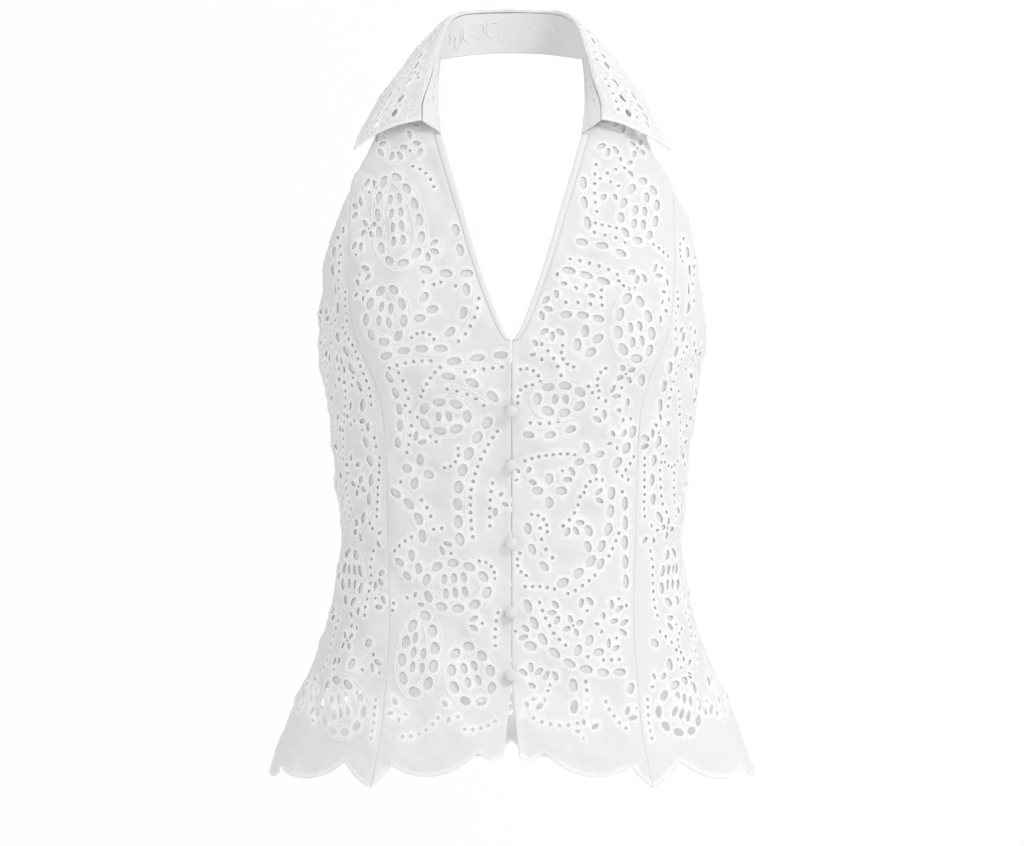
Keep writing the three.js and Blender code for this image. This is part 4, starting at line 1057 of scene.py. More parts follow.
def border_distance(points: Array, loop: Array) -> Array:
    """Distance from points to the nearest side of a loop."""
    return side_distance(points, loop, np.roll(loop, -1, axis=0))


def oval_loop(hole: Sequence[float], corners: int, grow: float = 0.0) -> Array:
    """Corners of an eyelet's edge, or of a line round it.

    Args:
        hole: x, y, angle, length and width.
        corners: how many corners.
        grow: distance out from the eyelet's edge.

    Returns:
        Rows of x and y.
    """
    x, y, angle, long, wide = hole
    turns = 2 * math.pi * np.arange(corners) / corners
    half = np.array([long, wide]) / 2
    rim = np.stack([np.cos(turns), np.sin(turns)], axis=1)
    flat = rim * half + unit(rim / half) * grow
    cosine, sine = math.cos(angle), math.sin(angle)
    return np.array([x, y]) + flat @ np.array([[cosine, sine], [-sine, cosine]])


def hole_reach(points: Array, holes: Sequence[Sequence[float]]) -> tuple:
    """Distance from points to the nearest eyelet's edge, below 0 inside it.

    Args:
        points: rows of x and y.
        holes: the eyelets.

    Returns:
        The distances, and the width of the nearest eyelet.
    """
    least, width = np.full(len(points), 99.0), np.full(len(points), 9.0)
    if not len(holes):
        return least, width
    table = np.array(holes)
    order = np.argsort(points[:, 1])
    for k in range(0, len(points), 1000):
        part = order[k : k + 1000]
        low, high = points[part[0], 1] - 12, points[part[-1], 1] + 12
        rows = table[(table[:, 1] > low) & (table[:, 1] < high)]
        if not len(rows):
            continue
        cosine, sine, half = np.cos(rows[:, 2]), np.sin(rows[:, 2]), rows[:, 3:5] / 2
        off = points[part, None, :] - rows[None, :, :2]
        u = off[..., 0] * cosine + off[..., 1] * sine
        v = off[..., 1] * cosine - off[..., 0] * sine
        share = np.sqrt((u / half[:, 0]) ** 2 + (v / half[:, 1]) ** 2)
        slope = np.sqrt((u / half[:, 0] ** 2) ** 2 + (v / half[:, 1] ** 2) ** 2)
        away = (share - 1) * share / np.maximum(slope, 1e-9)
        near = away.argmin(axis=1)
        least[part] = away[np.arange(len(near)), near]
        width[part] = rows[near, 4]
    return least, width


def thinned(points: Array, space: Array) -> Array:
    """Drops each point that is too near an earlier one.

    Args:
        points: rows of x and y, the most needed first.
        space: least distance of each point from the earlier ones.

    Returns:
        True for each point that stays.
    """
    cell = 1.2
    taken: dict = {}
    keep = np.zeros(len(points), dtype=bool)
    for k, (x, y) in enumerate(points.tolist()):
        column, row, least = int(x // cell), int(y // cell), space[k]
        crowded = any(
            (x - px) ** 2 + (y - py) ** 2 < least * least
            for i in (-1, 0, 1)
            for j in (-1, 0, 1)
            for px, py in taken.get((column + i, row + j), ())
        )
        if not crowded:
            keep[k] = True
            taken.setdefault((column, row), []).append((x, y))
    return keep


def side_distance(points: Array, starts: Array, ends: Array) -> Array:
    """Distance from points to the nearest of some straight sides.

    Args:
        points: rows of x and y.
        starts: one end of each side.
        ends: the other end of each side.

    Returns:
        The distances.
    """
    least = np.full(len(points), 99.0)
    way = ends - starts
    size = np.maximum(np.sum(way**2, axis=1), 1e-12)
    for k in range(0, len(points) if len(starts) else 0, 3000):
        off = points[k : k + 3000, None, :] - starts[None]
        t = np.clip(np.sum(off * way[None], axis=2) / size, 0, 1)
        least[k : k + 3000] = np.linalg.norm(off - way[None] * t[..., None], axis=2).min(axis=1)
    return least


@dataclass
class Cloth:
    """One flat piece of cloth, with its finished edges, eyelets and creases, bent onto its form.

    place turns x, height and distance out into points, and front and back are its two faces.
    A lining follows the creases of its panel.
    """

    name: str
    border: Array
    kinds: list
    place: Callable
    holes: list = field(default_factory=list)
    creases: Sequence[Crease] = ()
    seed: int = 1
    crumple: float = 1.0
    front: float = 0.0
    back: float = -THICKNESS
    step: float = INSIDE_STEP
    slot: str = "eyelet_cotton"
    follows: Optional["Cloth"] = None

    def near(self, points: Array, *kinds: Edge) -> Array:
        """Distance to the nearest edge that is finished in one of some ways.

        Args:
            points: rows of x and y.
            kinds: the ways.

        Returns:
            The distances.
        """
        pick = np.array([kind in kinds for kind in self.kinds])
        return side_distance(points, self.border[pick], np.roll(self.border, -1, axis=0)[pick])

    def rise(self, points: Array) -> Array:
        """How far the cloth stands off its form through creases, puckers and its finished edges.

        Args:
            points: rows of x and y.

        Returns:
            The distances out.
        """
        if self.follows:
            return self.follows.rise(points)
        chance = np.random.default_rng(self.seed)
        soft = np.zeros(len(points))
        for length, depth in PUCKERS:
            for _ in range(2):
                angle = chance.uniform(-0.9, 0.9)
                phase, bend = (chance.uniform(0, 6.28) for _ in range(2))
                way = np.array([math.sin(angle), math.cos(angle)]) * 2 * math.pi / length
                cross = np.array([way[1], -way[0]]) * 0.62
                soft += depth * np.sin(points @ way + phase + 1.1 * np.sin(points @ cross + bend))
        soft *= self.crumple
        for crease in self.creases:
            lean = math.radians(crease.lean)
            off = points - np.array([crease.along, crease.height])
            u = off[:, 0] * math.cos(lean) + off[:, 1] * math.sin(lean)
            v = off[:, 1] * math.cos(lean) - off[:, 0] * math.sin(lean)
            v = v + 0.06 * crease.length * np.sin(u / crease.length * 2.6 + crease.height)
            window = np.clip(1 - (u / (crease.length / 2)) ** 2, 0, 1) ** 1.5
            soft += crease.depth * window * np.exp(-((v / crease.width) ** 2))
        seam = self.near(points, Edge.SEAM)
        hem = self.near(points, Edge.HEM)
        free = self.near(points, Edge.FREE)
        fold = self.near(points, Edge.FOLD)
        soft *= 1 - np.exp(-((seam / 5) ** 2))
        soft *= 1 - np.exp(-((fold / 4) ** 2))
        soft -= SEAM_GROOVE[0] * np.exp(-((seam / SEAM_GROOVE[1]) ** 2))
        soft += SEAM_RIDGE[0] * np.exp(-(((seam - SEAM_RIDGE[1]) / SEAM_RIDGE[2]) ** 2))
        soft += HEM_BAND[0] * np.sin(math.pi * np.clip((hem + HEM_BAND[1]) / HEM_BAND[2], 0, 1))
        for away, (height, width, round_, reach) in ((free, TURNED_HEM), (fold, FRONT_FOLD)):
            soft += height / (1 + np.exp(np.minimum((away - width) / 0.35, 50)))
            soft -= round_ * np.exp(-((away / reach) ** 2))
        return soft

    def _flat_points(self) -> tuple:
        """Corners of the border and the eyelets, then the points between them.

        Returns:
            The points, and the loops as lists of their numbers.
        """
        loops, count = [np.arange(len(self.border))], len(self.border)
        fixed, rims, space = [self.border], [], []
        for hole in self.holes:
            large = hole[4] > DOT_LIMIT
            corners = OVAL_CORNERS if large else DOT_CORNERS
            fixed.append(oval_loop(hole, corners))
            loops.append(np.arange(count, count + corners))
            count += corners
            for grow in (0.5, 1.3) if large else (0.45, 1.0):
                rims.append(oval_loop(hole, corners, grow))
        ends = np.roll(self.border, -1, axis=0)
        inward = unit(np.stack([self.border[:, 1] - ends[:, 1], ends[:, 0] - self.border[:, 0]], axis=1))
        middle = (self.border + ends) / 2
        rows = [middle + inward * depth for depth in EDGE_ROWS]
        low, high = self.border.min(axis=0), self.border.max(axis=0)
        grid = []
        for i, y in enumerate(np.arange(low[1], high[1], self.step * 0.866)):
            xs = np.arange(low[0] + (i % 2) * self.step / 2, high[0], self.step)
            grid.append(np.stack([xs, np.full(len(xs), y)], axis=1))
        rims = np.concatenate(rims) if rims else np.zeros((0, 2))
        groups = [rims, np.concatenate(rows), np.concatenate(grid)]
        picked = []
        for group, clear, edge in zip(groups, (0.45, 0.6, 1.6), (0.5, 0.6, 2.6)):
            least, _ = hole_reach(group, self.holes)
            group = group[(least > clear) & inside(group, self.border)]
            group = group[border_distance(group, self.border) > edge]
            picked.append(group)
            space.append(np.full(len(group), {0.45: 0.5, 0.6: 0.7, 1.6: 1.2}[clear]))
        loose = np.concatenate(picked)
        keep = thinned(loose, np.concatenate(space))
        return np.concatenate([*fixed, loose[keep]]), loops

    def triangles(self) -> tuple:
        """Triangles of the flat piece.

        Returns:
            The points and the triangles, counter-clockwise.
        """
        points, loops = self._flat_points()
        edges = [pair for loop in loops for pair in zip(loop.tolist(), np.roll(loop, -1).tolist())]
        made = delaunay_2d_cdt([Vector(p) for p in points.tolist()], edges, [], 0, 1e-4, True)
        flat = np.array([v[:] for v in made[0]])
        faces = np.array([f for f in made[2] if len(f) == 3])
        middle = flat[faces].mean(axis=1)
        least, _ = hole_reach(middle, self.holes)
        faces = faces[(least > 0) & inside(middle, self.border)]
        a, b, c = (flat[faces[:, k]] for k in range(3))
        area = (b[:, 0] - a[:, 0]) * (c[:, 1] - a[:, 1]) - (b[:, 1] - a[:, 1]) * (c[:, 0] - a[:, 0])
        faces[area < 0] = faces[area < 0][:, ::-1]
        faces = faces[np.abs(area) > 1e-4]
        used = np.unique(faces)
        order = np.full(len(flat), -1)
        order[used] = np.arange(len(used))
        return flat[used], order[faces]

    def build(self) -> bpy.types.Object:
        """Builds the closed shell of the cloth.

        Returns:
            The new object.
        """
        flat, faces = self.triangles()
        count = len(flat)
        least, width = hole_reach(flat, self.holes)
        large = width > DOT_LIMIT
        oval, dot = (h * np.sin(math.pi * np.clip((least + i) / w, 0, 1)) for h, i, w in (OVAL_RIM, DOT_RIM))
        rim = np.where(large, oval, dot)
        soft = self.rise(flat)
        outer = self.place(flat[:, 0], flat[:, 1], self.front + soft + rim)
        inner = self.place(flat[:, 0], flat[:, 1], self.back + soft - rim * 0.3)
        sides = np.concatenate([faces[:, [0, 1]], faces[:, [1, 2]], faces[:, [2, 0]]])
        keys = sides[:, 0] * count + sides[:, 1]
        single = sides[~np.isin(keys, sides[:, 1] * count + sides[:, 0])]
        walls = np.stack([single[:, 1], single[:, 0], single[:, 0] + count, single[:, 1] + count], axis=1)
        polygons = [*faces.tolist(), *(faces[:, ::-1] + count).tolist(), *walls.tolist()]
        stitched = np.clip((1.75 - least) / 0.4, 0, 1) + np.clip(3.2 - self.near(flat, Edge.HEM), 0, 1)
        both = np.clip(np.concatenate([stitched, stitched]), 0, 1)
        return new_piece(
            f"{self.name}_cloth", np.concatenate([outer, inner]), polygons, np.concatenate([flat, flat]), both
        )

    def area(self) -> float:
        """Area of the cut, without taking off its eyelets, in square metres."""
        closed = np.concatenate([self.border, self.border[:1]])
        return abs(side_of(closed)) / 1e6

    def size(self) -> tuple:
        """Width and length of the cut, in metres; a folded strip is at least 10.2 mm wide."""
        best = (9.0, 9.0)
        for angle in np.radians(np.arange(0, 90, 2)):
            turn = np.array([[math.cos(angle), -math.sin(angle)], [math.sin(angle), math.cos(angle)]])
            width, length = np.ptp(self.border @ turn, axis=0) / 1000
            if width * length < best[0] * best[1]:
                best = (max(0.0102, float(min(width, length))), float(max(width, length)))
        return best


def new_piece(
    name: str,
    points: Array,
    faces: Sequence,
    flat: Optional[Array] = None,
    satin: Optional[Array] = None,
) -> bpy.types.Object:
    """Makes a mesh object in the row frame.

    Args:
        name: name of the piece.
        points: corners in millimetres, before the move to the neck mount.
        faces: corner numbers of each face.
        flat: x and y of each corner on the flat cloth, in millimetres.
        satin: how far each corner is covered with satin stitches, from 0 to 1.

    Returns:
        The new object.
    """
    mesh = bpy.data.meshes.new(name)
    mesh.from_pydata(((points - NECK_HOLD) / 1000).tolist(), [], list(faces))
    mesh.polygons.foreach_set("use_smooth", [True] * len(mesh.polygons))
    if flat is not None:
        layer = mesh.uv_layers.new(name="cloth")
        corner = np.zeros(len(mesh.loops), dtype=np.int32)
        mesh.loops.foreach_get("vertex_index", corner)
        layer.data.foreach_set("uv", (flat[corner] / 1000).astype(np.float32).ravel())
    if satin is not None:
        layer = mesh.attributes.new("satin", "FLOAT", "POINT")
        layer.data.foreach_set("value", satin.astype(np.float32))
    mesh.update()
    piece = bpy.data.objects.new(name, mesh)
    bpy.context.scene.collection.objects.link(piece)
    return piece


CORD_PROFILE = np.array([(-0.5, 0), (-0.3, 0.75), (0, 1), (0.3, 0.75), (0.5, 0), (0.35, -0.8), (-0.35, -0.8)])


def cord_piece(name: str, cloth: Cloth, cords: Sequence[tuple], lift: float = 0.55) -> bpy.types.Object:
    """Makes the raised satin cords of one piece of cloth.

    Args:
        name: name of the new piece.
        cloth: the cloth that they are stitched on.
        cords: lines on the flat, each with its width.
        lift: how far a cord stands off the cloth.

    Returns:
        The new object.
    """
    points, faces, flat, start = [], [], [], 0
    ring = len(CORD_PROFILE)
    for path, width in cords:
        along = unit(np.gradient(path, axis=0))
        left = np.stack([along[:, 1], -along[:, 0]], axis=1)
        taper = np.sqrt(np.clip(np.minimum(np.arange(len(path)), np.arange(len(path))[::-1]) / 1.5, 0.12, 1))
        wide = (CORD_PROFILE[:, 0] * width)[None, :, None] * taper[:, None, None]
        spots = path[:, None, :] + left[:, None, :] * wide
        height = CORD_PROFILE[:, 1] * lift
        around = spots.reshape(-1, 2)
        out = cloth.front + cloth.rise(around) + (taper[:, None] * height[None, :]).ravel()
        points.append(cloth.place(around[:, 0], around[:, 1], out))
        flat.append(around)
        for i in range(len(path) - 1):
            for k in range(ring):
                a, b = start + i * ring + k, start + i * ring + (k + 1) % ring
                faces.append((a, b, b + ring, a + ring))
        faces.append(tuple(start + k for k in reversed(range(ring))))
        faces.append(tuple(start + (len(path) - 1) * ring + k for k in range(ring)))
        start += len(path) * ring
    points, flat = np.concatenate(points), np.concatenate(flat)
    return new_piece(name, points, faces, flat, np.ones(len(points)))


def joined(sections: Sequence[tuple]) -> tuple:
    """Corners and finishes of a border, from pairs of a finish and a row of points."""
    points = np.concatenate([np.asarray(rows)[:-1] for _, rows in sections])
    kinds = [kind for kind, rows in sections for _ in range(len(rows) - 1)]
    keep = np.linalg.norm(points - np.roll(points, -1, axis=0), axis=1) > LEAST_SIDE
    return points[keep], [kind for kind, kept in zip(kinds, keep) if kept]


def cut_above(points: Array, level: float) -> Array:
    """Part of a border that lies above a level.

    Args:
        points: corners of the border.
        level: the level.

    Returns:
        The corners, with the cut straight across.
    """
    lower = int(np.argmin(points[:, 1]))
    points = np.roll(points, -lower, axis=0)
    rows, cuts = [], []
    for one, two in zip(points, np.roll(points, -1, axis=0)):
        if one[1] >= level:
            rows.append(one)
        if (one[1] - level) * (two[1] - level) < 0:
            cuts.append(one + (two - one) * (level - one[1]) / (two[1] - one[1]))
    across = levels(cuts[-1][0], cuts[0][0], EDGE_STEP)
    across = np.stack([across, np.full(len(across), level)], axis=1)
    rows = np.concatenate([rows, across])
    return rows[np.linalg.norm(rows - np.roll(rows, -1, axis=0), axis=1) > LEAST_SIDE]


def on_side(side: int, border: tuple) -> tuple:
    """Mirrors a border that was laid out on the right.

    Args:
        side: 1 for the picture's right, -1 for its left.
        border: corners and finishes.

    Returns:
        The border, still counter-clockwise.
    """
    points, kinds = border
    if side > 0:
        return points, kinds
    turned = kinds[::-1]
    return points[::-1] * np.array([-1, 1]), turned[1:] + turned[:1]


class Pattern:
    """The flat cut of each panel, laid out on the body's form."""

    def __init__(self, body: BodyForm) -> None:
        """Finds where the princess seams run into the armholes.

        Args:
            body: the form.
        """
        self.body = body
        self.tops = {side: self._seam_top(side) for side in (1, -1)}

    def seam(self, side: int, height: Array) -> Array:
        """Length on the cloth from the centre front to the princess seam."""
        return np.abs(self.body.along_of_half(side * column_at(PRINCESS_SEAM, height), height))

    def neck(self, side: int, height: Array) -> Array:
        """Length on the cloth from the centre front to the neckline."""
        return np.abs(self.body.along_of_half(side * column_at(NECKLINE, height), height))

    def arm(self, side: int, height: Array) -> Array:
        """Length on the cloth from the centre front to the armhole."""
        turn = np.radians(np.minimum(90, column_at(ARMHOLE, height)))
        return np.abs(self.body.along_at(side * turn, height))

    def reach(self, side: int, height: Array, start: float = 0.0) -> Array:
        """Length on the cloth from the centre front or the centre back to the side seam."""
        height = np.asarray(height, dtype=float)
        return np.abs(self.body.along_at(np.full_like(height, side * math.pi / 2), height, start))

    def _seam_top(self, side: int) -> float:
        """Height at which a princess seam runs into the armhole's edge.

        Args:
            side: 1 or -1.

        Returns:
            The height.
        """
        low, high = 400.0, 500.0
        for _ in range(30):
            middle = np.array([(low + high) / 2])
            if (self.arm(side, middle) - self.seam(side, middle))[0] > 0.4:
                low = middle[0]
            else:
                high = middle[0]
        return low

    def _hem(self, side: int, first: int, last: int) -> Array:
        """Scallops of one front's hem.

        Args:
            side: 1 or -1.
            first: number of the first scallop.
            last: number past the last one.

        Returns:
            Rows of x and y.
        """
        rows = []
        for low, high, start, end, drop in FRONT_SCALLOPS[first:last]:
            halves, heights = np.array([low, high]), np.array([start, end], dtype=float)
            x = np.abs(self.body.along_of_half(side * halves, heights))
            t = np.linspace(0, 1, max(3, round(abs(x[1] - x[0]) / EDGE_STEP) + 1))[:, None]
            ends = np.stack([x, heights], axis=1)
            line = ends[0] + (ends[1] - ends[0]) * t
            line[:, 1] -= (drop * 4 * t * (1 - t))[:, 0]
            rows.append(line if last - 1 == len(rows) + first else line[:-1])
        return np.concatenate(rows)

    def centre_front(self, side: int) -> tuple:
        """Border of a centre front.

        Args:
            side: 1 or -1.

        Returns:
            Corners and finishes.
        """
        top, tip = self.tops[side], FRONT_SCALLOPS[2][3]
        hem = self._hem(side, 0, 3)
        seam_rows = levels(tip, top, EDGE_STEP)
        seam = np.stack([self.seam(side, seam_rows) - SEAM_GAP / 2, seam_rows], axis=1)
        hem[-1] = seam[0]
        arm_rows = levels(top, NECK_TIP, EDGE_STEP)
        arm = np.stack([self.arm(side, arm_rows), arm_rows], axis=1)
        arm[0] = seam[-1]
        neck_rows = levels(NECK_TIP, COLLAR_FRONT, EDGE_STEP)
        neck = np.stack([self.neck(side, neck_rows), neck_rows], axis=1)
        bound_rows = levels(COLLAR_FRONT, V_FOOT, EDGE_STEP)
        bound = self.neck(side, bound_rows) + column_at(BINDING_WIDTH, bound_rows) + SEAM_GAP
        bound = np.stack([bound, bound_rows], axis=1)
        foot = V_FOOT - SEAM_GAP
        lap_rows = levels(foot, SLIT_TOP, EDGE_STEP)
        lap = np.stack([np.full(len(lap_rows), FRONT_GAP / 2), lap_rows], axis=1)
        slit_rows = levels(SLIT_TOP, FRONT_SCALLOPS[0][2], EDGE_STEP)
        share = (SLIT_TOP - slit_rows) / (SLIT_TOP - slit_rows[-1])
        slit = np.stack([FRONT_GAP / 2 + (SLIT_HALF - FRONT_GAP / 2) * share, slit_rows], axis=1)
        slit[-1] = hem[0]
        sections = [
            (Edge.HEM, hem), (Edge.SEAM, seam), (Edge.FREE, arm),
            (Edge.SEAM, np.concatenate([[arm[-1]], neck])),
            (Edge.SEAM, np.concatenate([[neck[-1]], bound])),
            (Edge.SEAM, np.stack([[bound[-1][0], foot], [FRONT_GAP / 2, foot]])),
            (Edge.FOLD, lap), (Edge.FOLD, slit),
        ]
        return on_side(side, joined(sections))

    def side_front(self, side: int) -> tuple:
        """Border of a side front.

        Args:
            side: 1 or -1.

        Returns:
            Corners and finishes.
        """
        top, tip, low = self.tops[side], FRONT_SCALLOPS[2][3], FRONT_SCALLOPS[-1][3]
        hem = self._hem(side, 3, 6)
        side_rows = levels(low, UNDERARM, EDGE_STEP)
        seamed = np.stack([self.reach(side, side_rows) - SEAM_GAP / 2, side_rows], axis=1)
        hem[-1] = seamed[0]
        arm_rows = levels(UNDERARM, top - 0.3, EDGE_STEP)
        arm = np.stack([self.arm(side, arm_rows), arm_rows], axis=1)
        arm[0] = seamed[-1]
        seam_rows = levels(top, tip, EDGE_STEP)
        seam = np.stack([self.seam(side, seam_rows) + SEAM_GAP / 2, seam_rows], axis=1)
        seam[0][1] -= 0.3
        hem[0] = seam[-1]
        sections = [
            (Edge.HEM, hem), (Edge.SEAM, seamed), (Edge.FREE, arm),
            (Edge.SEAM, np.concatenate([[arm[-1]], seam])),
        ]
        return on_side(side, joined(sections))

    @staticmethod
    def _back_hem(start: Array, end: Array, count: int, drop: float) -> Array:
        """Scallops of the back's hem between two places.

        Args:
            start: one end.
            end: the other end.
            count: how many scallops.
            drop: how far each hangs down.

        Returns:
            Rows of x and y.
        """
        share = np.linspace(0, count, round(count * (end[0] - start[0]) / count / EDGE_STEP / 4) * 4 + 1)
        share = np.unique(np.concatenate([share, np.arange(count + 1)]))
        line = start + (end - start) * (share / count)[:, None]
        part = share - np.floor(share)
        line[:, 1] -= drop * 4 * part * (1 - part)
        return line

    @staticmethod
    def _back_seam_top(offset: float) -> float:
        """Height at which a seam of the back meets the top edge.

        Args:
            offset: distance from the seam's own line.

        Returns:
            The height.
        """
        height = np.array([BACK_TOP[1, 1]])
        for _ in range(12):
            height = column_at(BACK_TOP, column_at(BACK_SEAM, height) + offset)
        return float(height[0])

    def centre_back(self) -> tuple:
        """Border of the centre back.

        Returns:
            Corners and finishes.
        """
        rows = levels(BACK_SCALLOPS["notch"], self._back_seam_top(-SEAM_GAP / 2), EDGE_STEP)
        seam = np.stack([column_at(BACK_SEAM, rows) - SEAM_GAP / 2, rows], axis=1)
        mirrored = seam * np.array([-1, 1])
        hem = self._back_hem(mirrored[0], seam[0], BACK_SCALLOPS["centre_count"], BACK_SCALLOPS["drop"])
        top = levels(seam[-1][0], mirrored[-1][0], EDGE_STEP)
        top = np.stack([top, column_at(BACK_TOP, np.abs(top))], axis=1)
        top[0], top[-1] = seam[-1], mirrored[-1]
        sections = [(Edge.HEM, hem), (Edge.SEAM, seam), (Edge.FREE, top), (Edge.SEAM, mirrored[::-1])]
        return joined(sections)

    def side_back(self, side: int) -> tuple:
        """Border of a side back.

        Args:
            side: 1 for the picture's right, which is on the left of the flat back.

        Returns:
            Corners and finishes.
        """
        notch, low = BACK_SCALLOPS["notch"], BACK_SCALLOPS["side_low"]
        rows = levels(notch, self._back_seam_top(SEAM_GAP / 2), EDGE_STEP)
        seam = np.stack([column_at(BACK_SEAM, rows) + SEAM_GAP / 2, rows], axis=1)
        rows = levels(low, UNDERARM, EDGE_STEP)
        outer = np.stack([self.reach(side, rows, math.pi) - SEAM_GAP / 2, rows], axis=1)
        middle = np.array([(seam[0][0] + outer[0][0]) / 2, notch])
        first = self._back_hem(seam[0], middle, BACK_SCALLOPS["side_count"] - 1, BACK_SCALLOPS["drop"])
        hem = np.concatenate([first[:-1], self._back_hem(middle, outer[0], 1, BACK_SCALLOPS["side_drop"])])
        hem[-1] = outer[0]
        top = levels(outer[-1][0], seam[-1][0], EDGE_STEP)
        top = np.stack([top, column_at(BACK_TOP, np.abs(top))], axis=1)
        top[0], top[-1] = outer[-1], seam[-1]
        sections = [(Edge.HEM, hem), (Edge.SEAM, outer), (Edge.FREE, top), (Edge.SEAM, seam[::-1])]
        return on_side(-side, joined(sections))

    def binding(self, side: int) -> tuple:
        """Border of the binding on one edge of the V.

        Args:
            side: 1 or -1.

        Returns:
            Corners and finishes.
        """
        rows = levels(V_FOOT, COLLAR_FRONT - SEAM_GAP, EDGE_STEP)
        neck = self.neck(side, rows)
        outer = np.stack([neck + column_at(BINDING_WIDTH, rows), rows], axis=1)
        inner = np.stack([neck, rows], axis=1)[::-1]
        across = np.array([outer[-1], inner[0]])
        foot = np.array([inner[-1], outer[0]])
        sections = [(Edge.SEAM, outer), (Edge.PLAIN, across), (Edge.PLAIN, inner), (Edge.PLAIN, foot)]
        return on_side(side, joined(sections))


class Body:
    """Panels of the body: the fronts and their linings, the side backs and the centre back."""

    def __init__(self, form: BodyForm) -> None:
        """Keeps the form and lays out the flat cut.

        Args:
            form: the form that the panels follow.
        """
        self.form = form
        self.pattern = Pattern(form)
        self.front = lambda x, y, out: form.cloth(form.turn_at(x, y), y, out)
        self.rear = lambda x, y, out: form.cloth(form.turn_at(-x, y, math.pi), y, out)

    def build(self) -> list:
        """Builds every panel and what is stitched on it.

        Returns:
            Tuples of a cloth, its object and the pieces on it, which are None for a lining.
        """
        made = []
        for side, word in ((1, "right"), (-1, "left")):
            chart = RIGHT_FRONT_CHART if side > 0 else LEFT_FRONT_CHART
            made.append(self._panel(f"centre_front_{word}", self.pattern.centre_front(side), chart, side,
                                    self.form.along_of_half, FRONT_SPRIGS, CENTRE_CREASES[side], 11 + side))
            made.append(self._panel(f"side_front_{word}", self.pattern.side_front(side), SIDE_FRONT_CHART,
                                    side, lambda x, _: x, SIDE_SPRIGS, SIDE_CREASES, 21 + side))
            made += [self._lining(cloth) for cloth, _, _ in made[-2:]]
            made.append(self._panel(f"side_back_{word}", self.pattern.side_back(side), SIDE_BACK_CHART, -side,
                                    lambda x, _: x, SIDE_SPRIGS, SIDE_BACK_CREASES, 27 + side, True))
        made.append(self._panel("centre_back", self.pattern.centre_back(), CENTRE_BACK_CHART, 0,
                                lambda x, _: x, SIDE_SPRIGS, CENTRE_BACK_CREASES, 31, True))
        return made

    def _panel(
        self, name: str, border: tuple, chart: Sequence[Motif], side: int, find: Callable,
        pitch: float, folds: Sequence[Crease], seed: int, rear: bool = False,
    ) -> tuple:
        """Builds one embroidered panel.

        Args:
            name: name of the piece and its node.
            border: corners and finishes.
            chart: its motifs.
            side: 1 or -1, or 0 for the centre back.
            find: gives the flat's x from a motif's place.
            pitch: distance between the small sprigs.
            folds: its creases.
            seed: seed of its sprigs and puckers.
            rear: whether it is laid out from the centre back.

        Returns:
            The cloth, its object and its cords.
        """
        points, kinds = border
        work = Embroidery(points)
        lines = []
        for way in (side,) if side else (1, -1):
            lines += work.chart(chart, way, find)
        work.dress(lines)
        work.fill(pitch, seed, LOWEST_SPRIG)
        place = self.rear if rear else self.front
        way = side or 1
        turned = [
            replace(c, along=c.along * way, depth=c.depth * CREASE_GAIN, lean=c.lean * way) for c in folds
        ]
        cloth = Cloth(name, points, kinds, place, work.holes, turned, seed, 1.3)
        piece = cloth.build()
        LOG.info("%s: %d eyelets, %d faces", name, len(work.holes), len(piece.data.polygons))
        return cloth, piece, cord_piece(f"{name}_cords", cloth, work.cords)

    @staticmethod
    def _lining(panel: Cloth) -> tuple:
        """Builds the plain lining close behind a front panel, which ends above the hem.

        Args:
            panel: the panel.

        Returns:
            The cloth, its object and None.
        """
        points = cut_above(panel.border, LINING_HEM)
        kinds = [Edge.PLAIN] * len(points)
        front, back = LINING_FACES
        name = panel.name.replace("front_", "front_lining_")
        made = {"front": front, "back": back, "step": LINING_STEP, "slot": "lining_cotton", "follows": panel}
        cloth = Cloth(name, points, kinds, panel.place, **made)
        return cloth, cloth.build(), None


# On the fronts along is the length from the centre front, mirrored on the picture's left
RIGHT_CREASES = creases(
    (22, 322, 62, 4.5, -1.4, -16), (30, 306, 70, 5, 1.1, -8), (26, 292, 60, 4.5, -1.2, 5),
    (40, 262, 90, 6, -1.0, -6), (34, 240, 80, 5, 0.9, 4), (48, 205, 96, 6.5, -1.3, -4),
    (52, 190, 90, 6, 1.1, 3), (46, 172, 92, 6.5, -1.3, -3), (22, 100, 70, 7, -1.4, 62),
    (52, 96, 90, 9, 1.3, 74), (70, 60, 80, 8, -1.4, 84), (64, 400, 90, 9, -1.3, 68),
    (84, 380, 70, 8, 1.0, 76), (92, 240, 60, 5, -0.9, 10),
)
LEFT_CREASES = creases(
    (20, 318, 60, 4.5, -1.5, -14), (28, 300, 72, 5, 1.2, -10), (34, 284, 66, 4.5, -1.1, -4),
    (44, 256, 88, 6, -1.2, 5), (30, 226, 74, 5, 1.0, -5), (50, 206, 98, 6.5, -1.4, 4),
    (46, 188, 88, 6, 1.2, -3), (50, 170, 92, 6, -1.2, 2), (24, 96, 76, 7.5, -1.5, 64),
    (48, 84, 90, 9, 1.4, 78), (74, 62, 84, 8, -1.4, 86), (58, 404, 92, 9, -1.4, 70),
    (80, 372, 74, 8, 1.1, 80), (88, 226, 64, 5, -1.0, -8),
)
CENTRE_CREASES = {1: RIGHT_CREASES, -1: LEFT_CREASES}
SIDE_CREASES = creases(
    (128, 330, 70, 5, -1.1, -14), (132, 306, 72, 6, 1.0, -8), (126, 216, 78, 6, -1.2, 4),
    (122, 198, 70, 5.5, 1.2, -3), (128, 180, 76, 6, -1.3, 5), (136, 92, 90, 8, 1.3, 84),
    (158, 70, 100, 9, -1.5, 80), (150, 372, 60, 8, -1.2, 64),
)
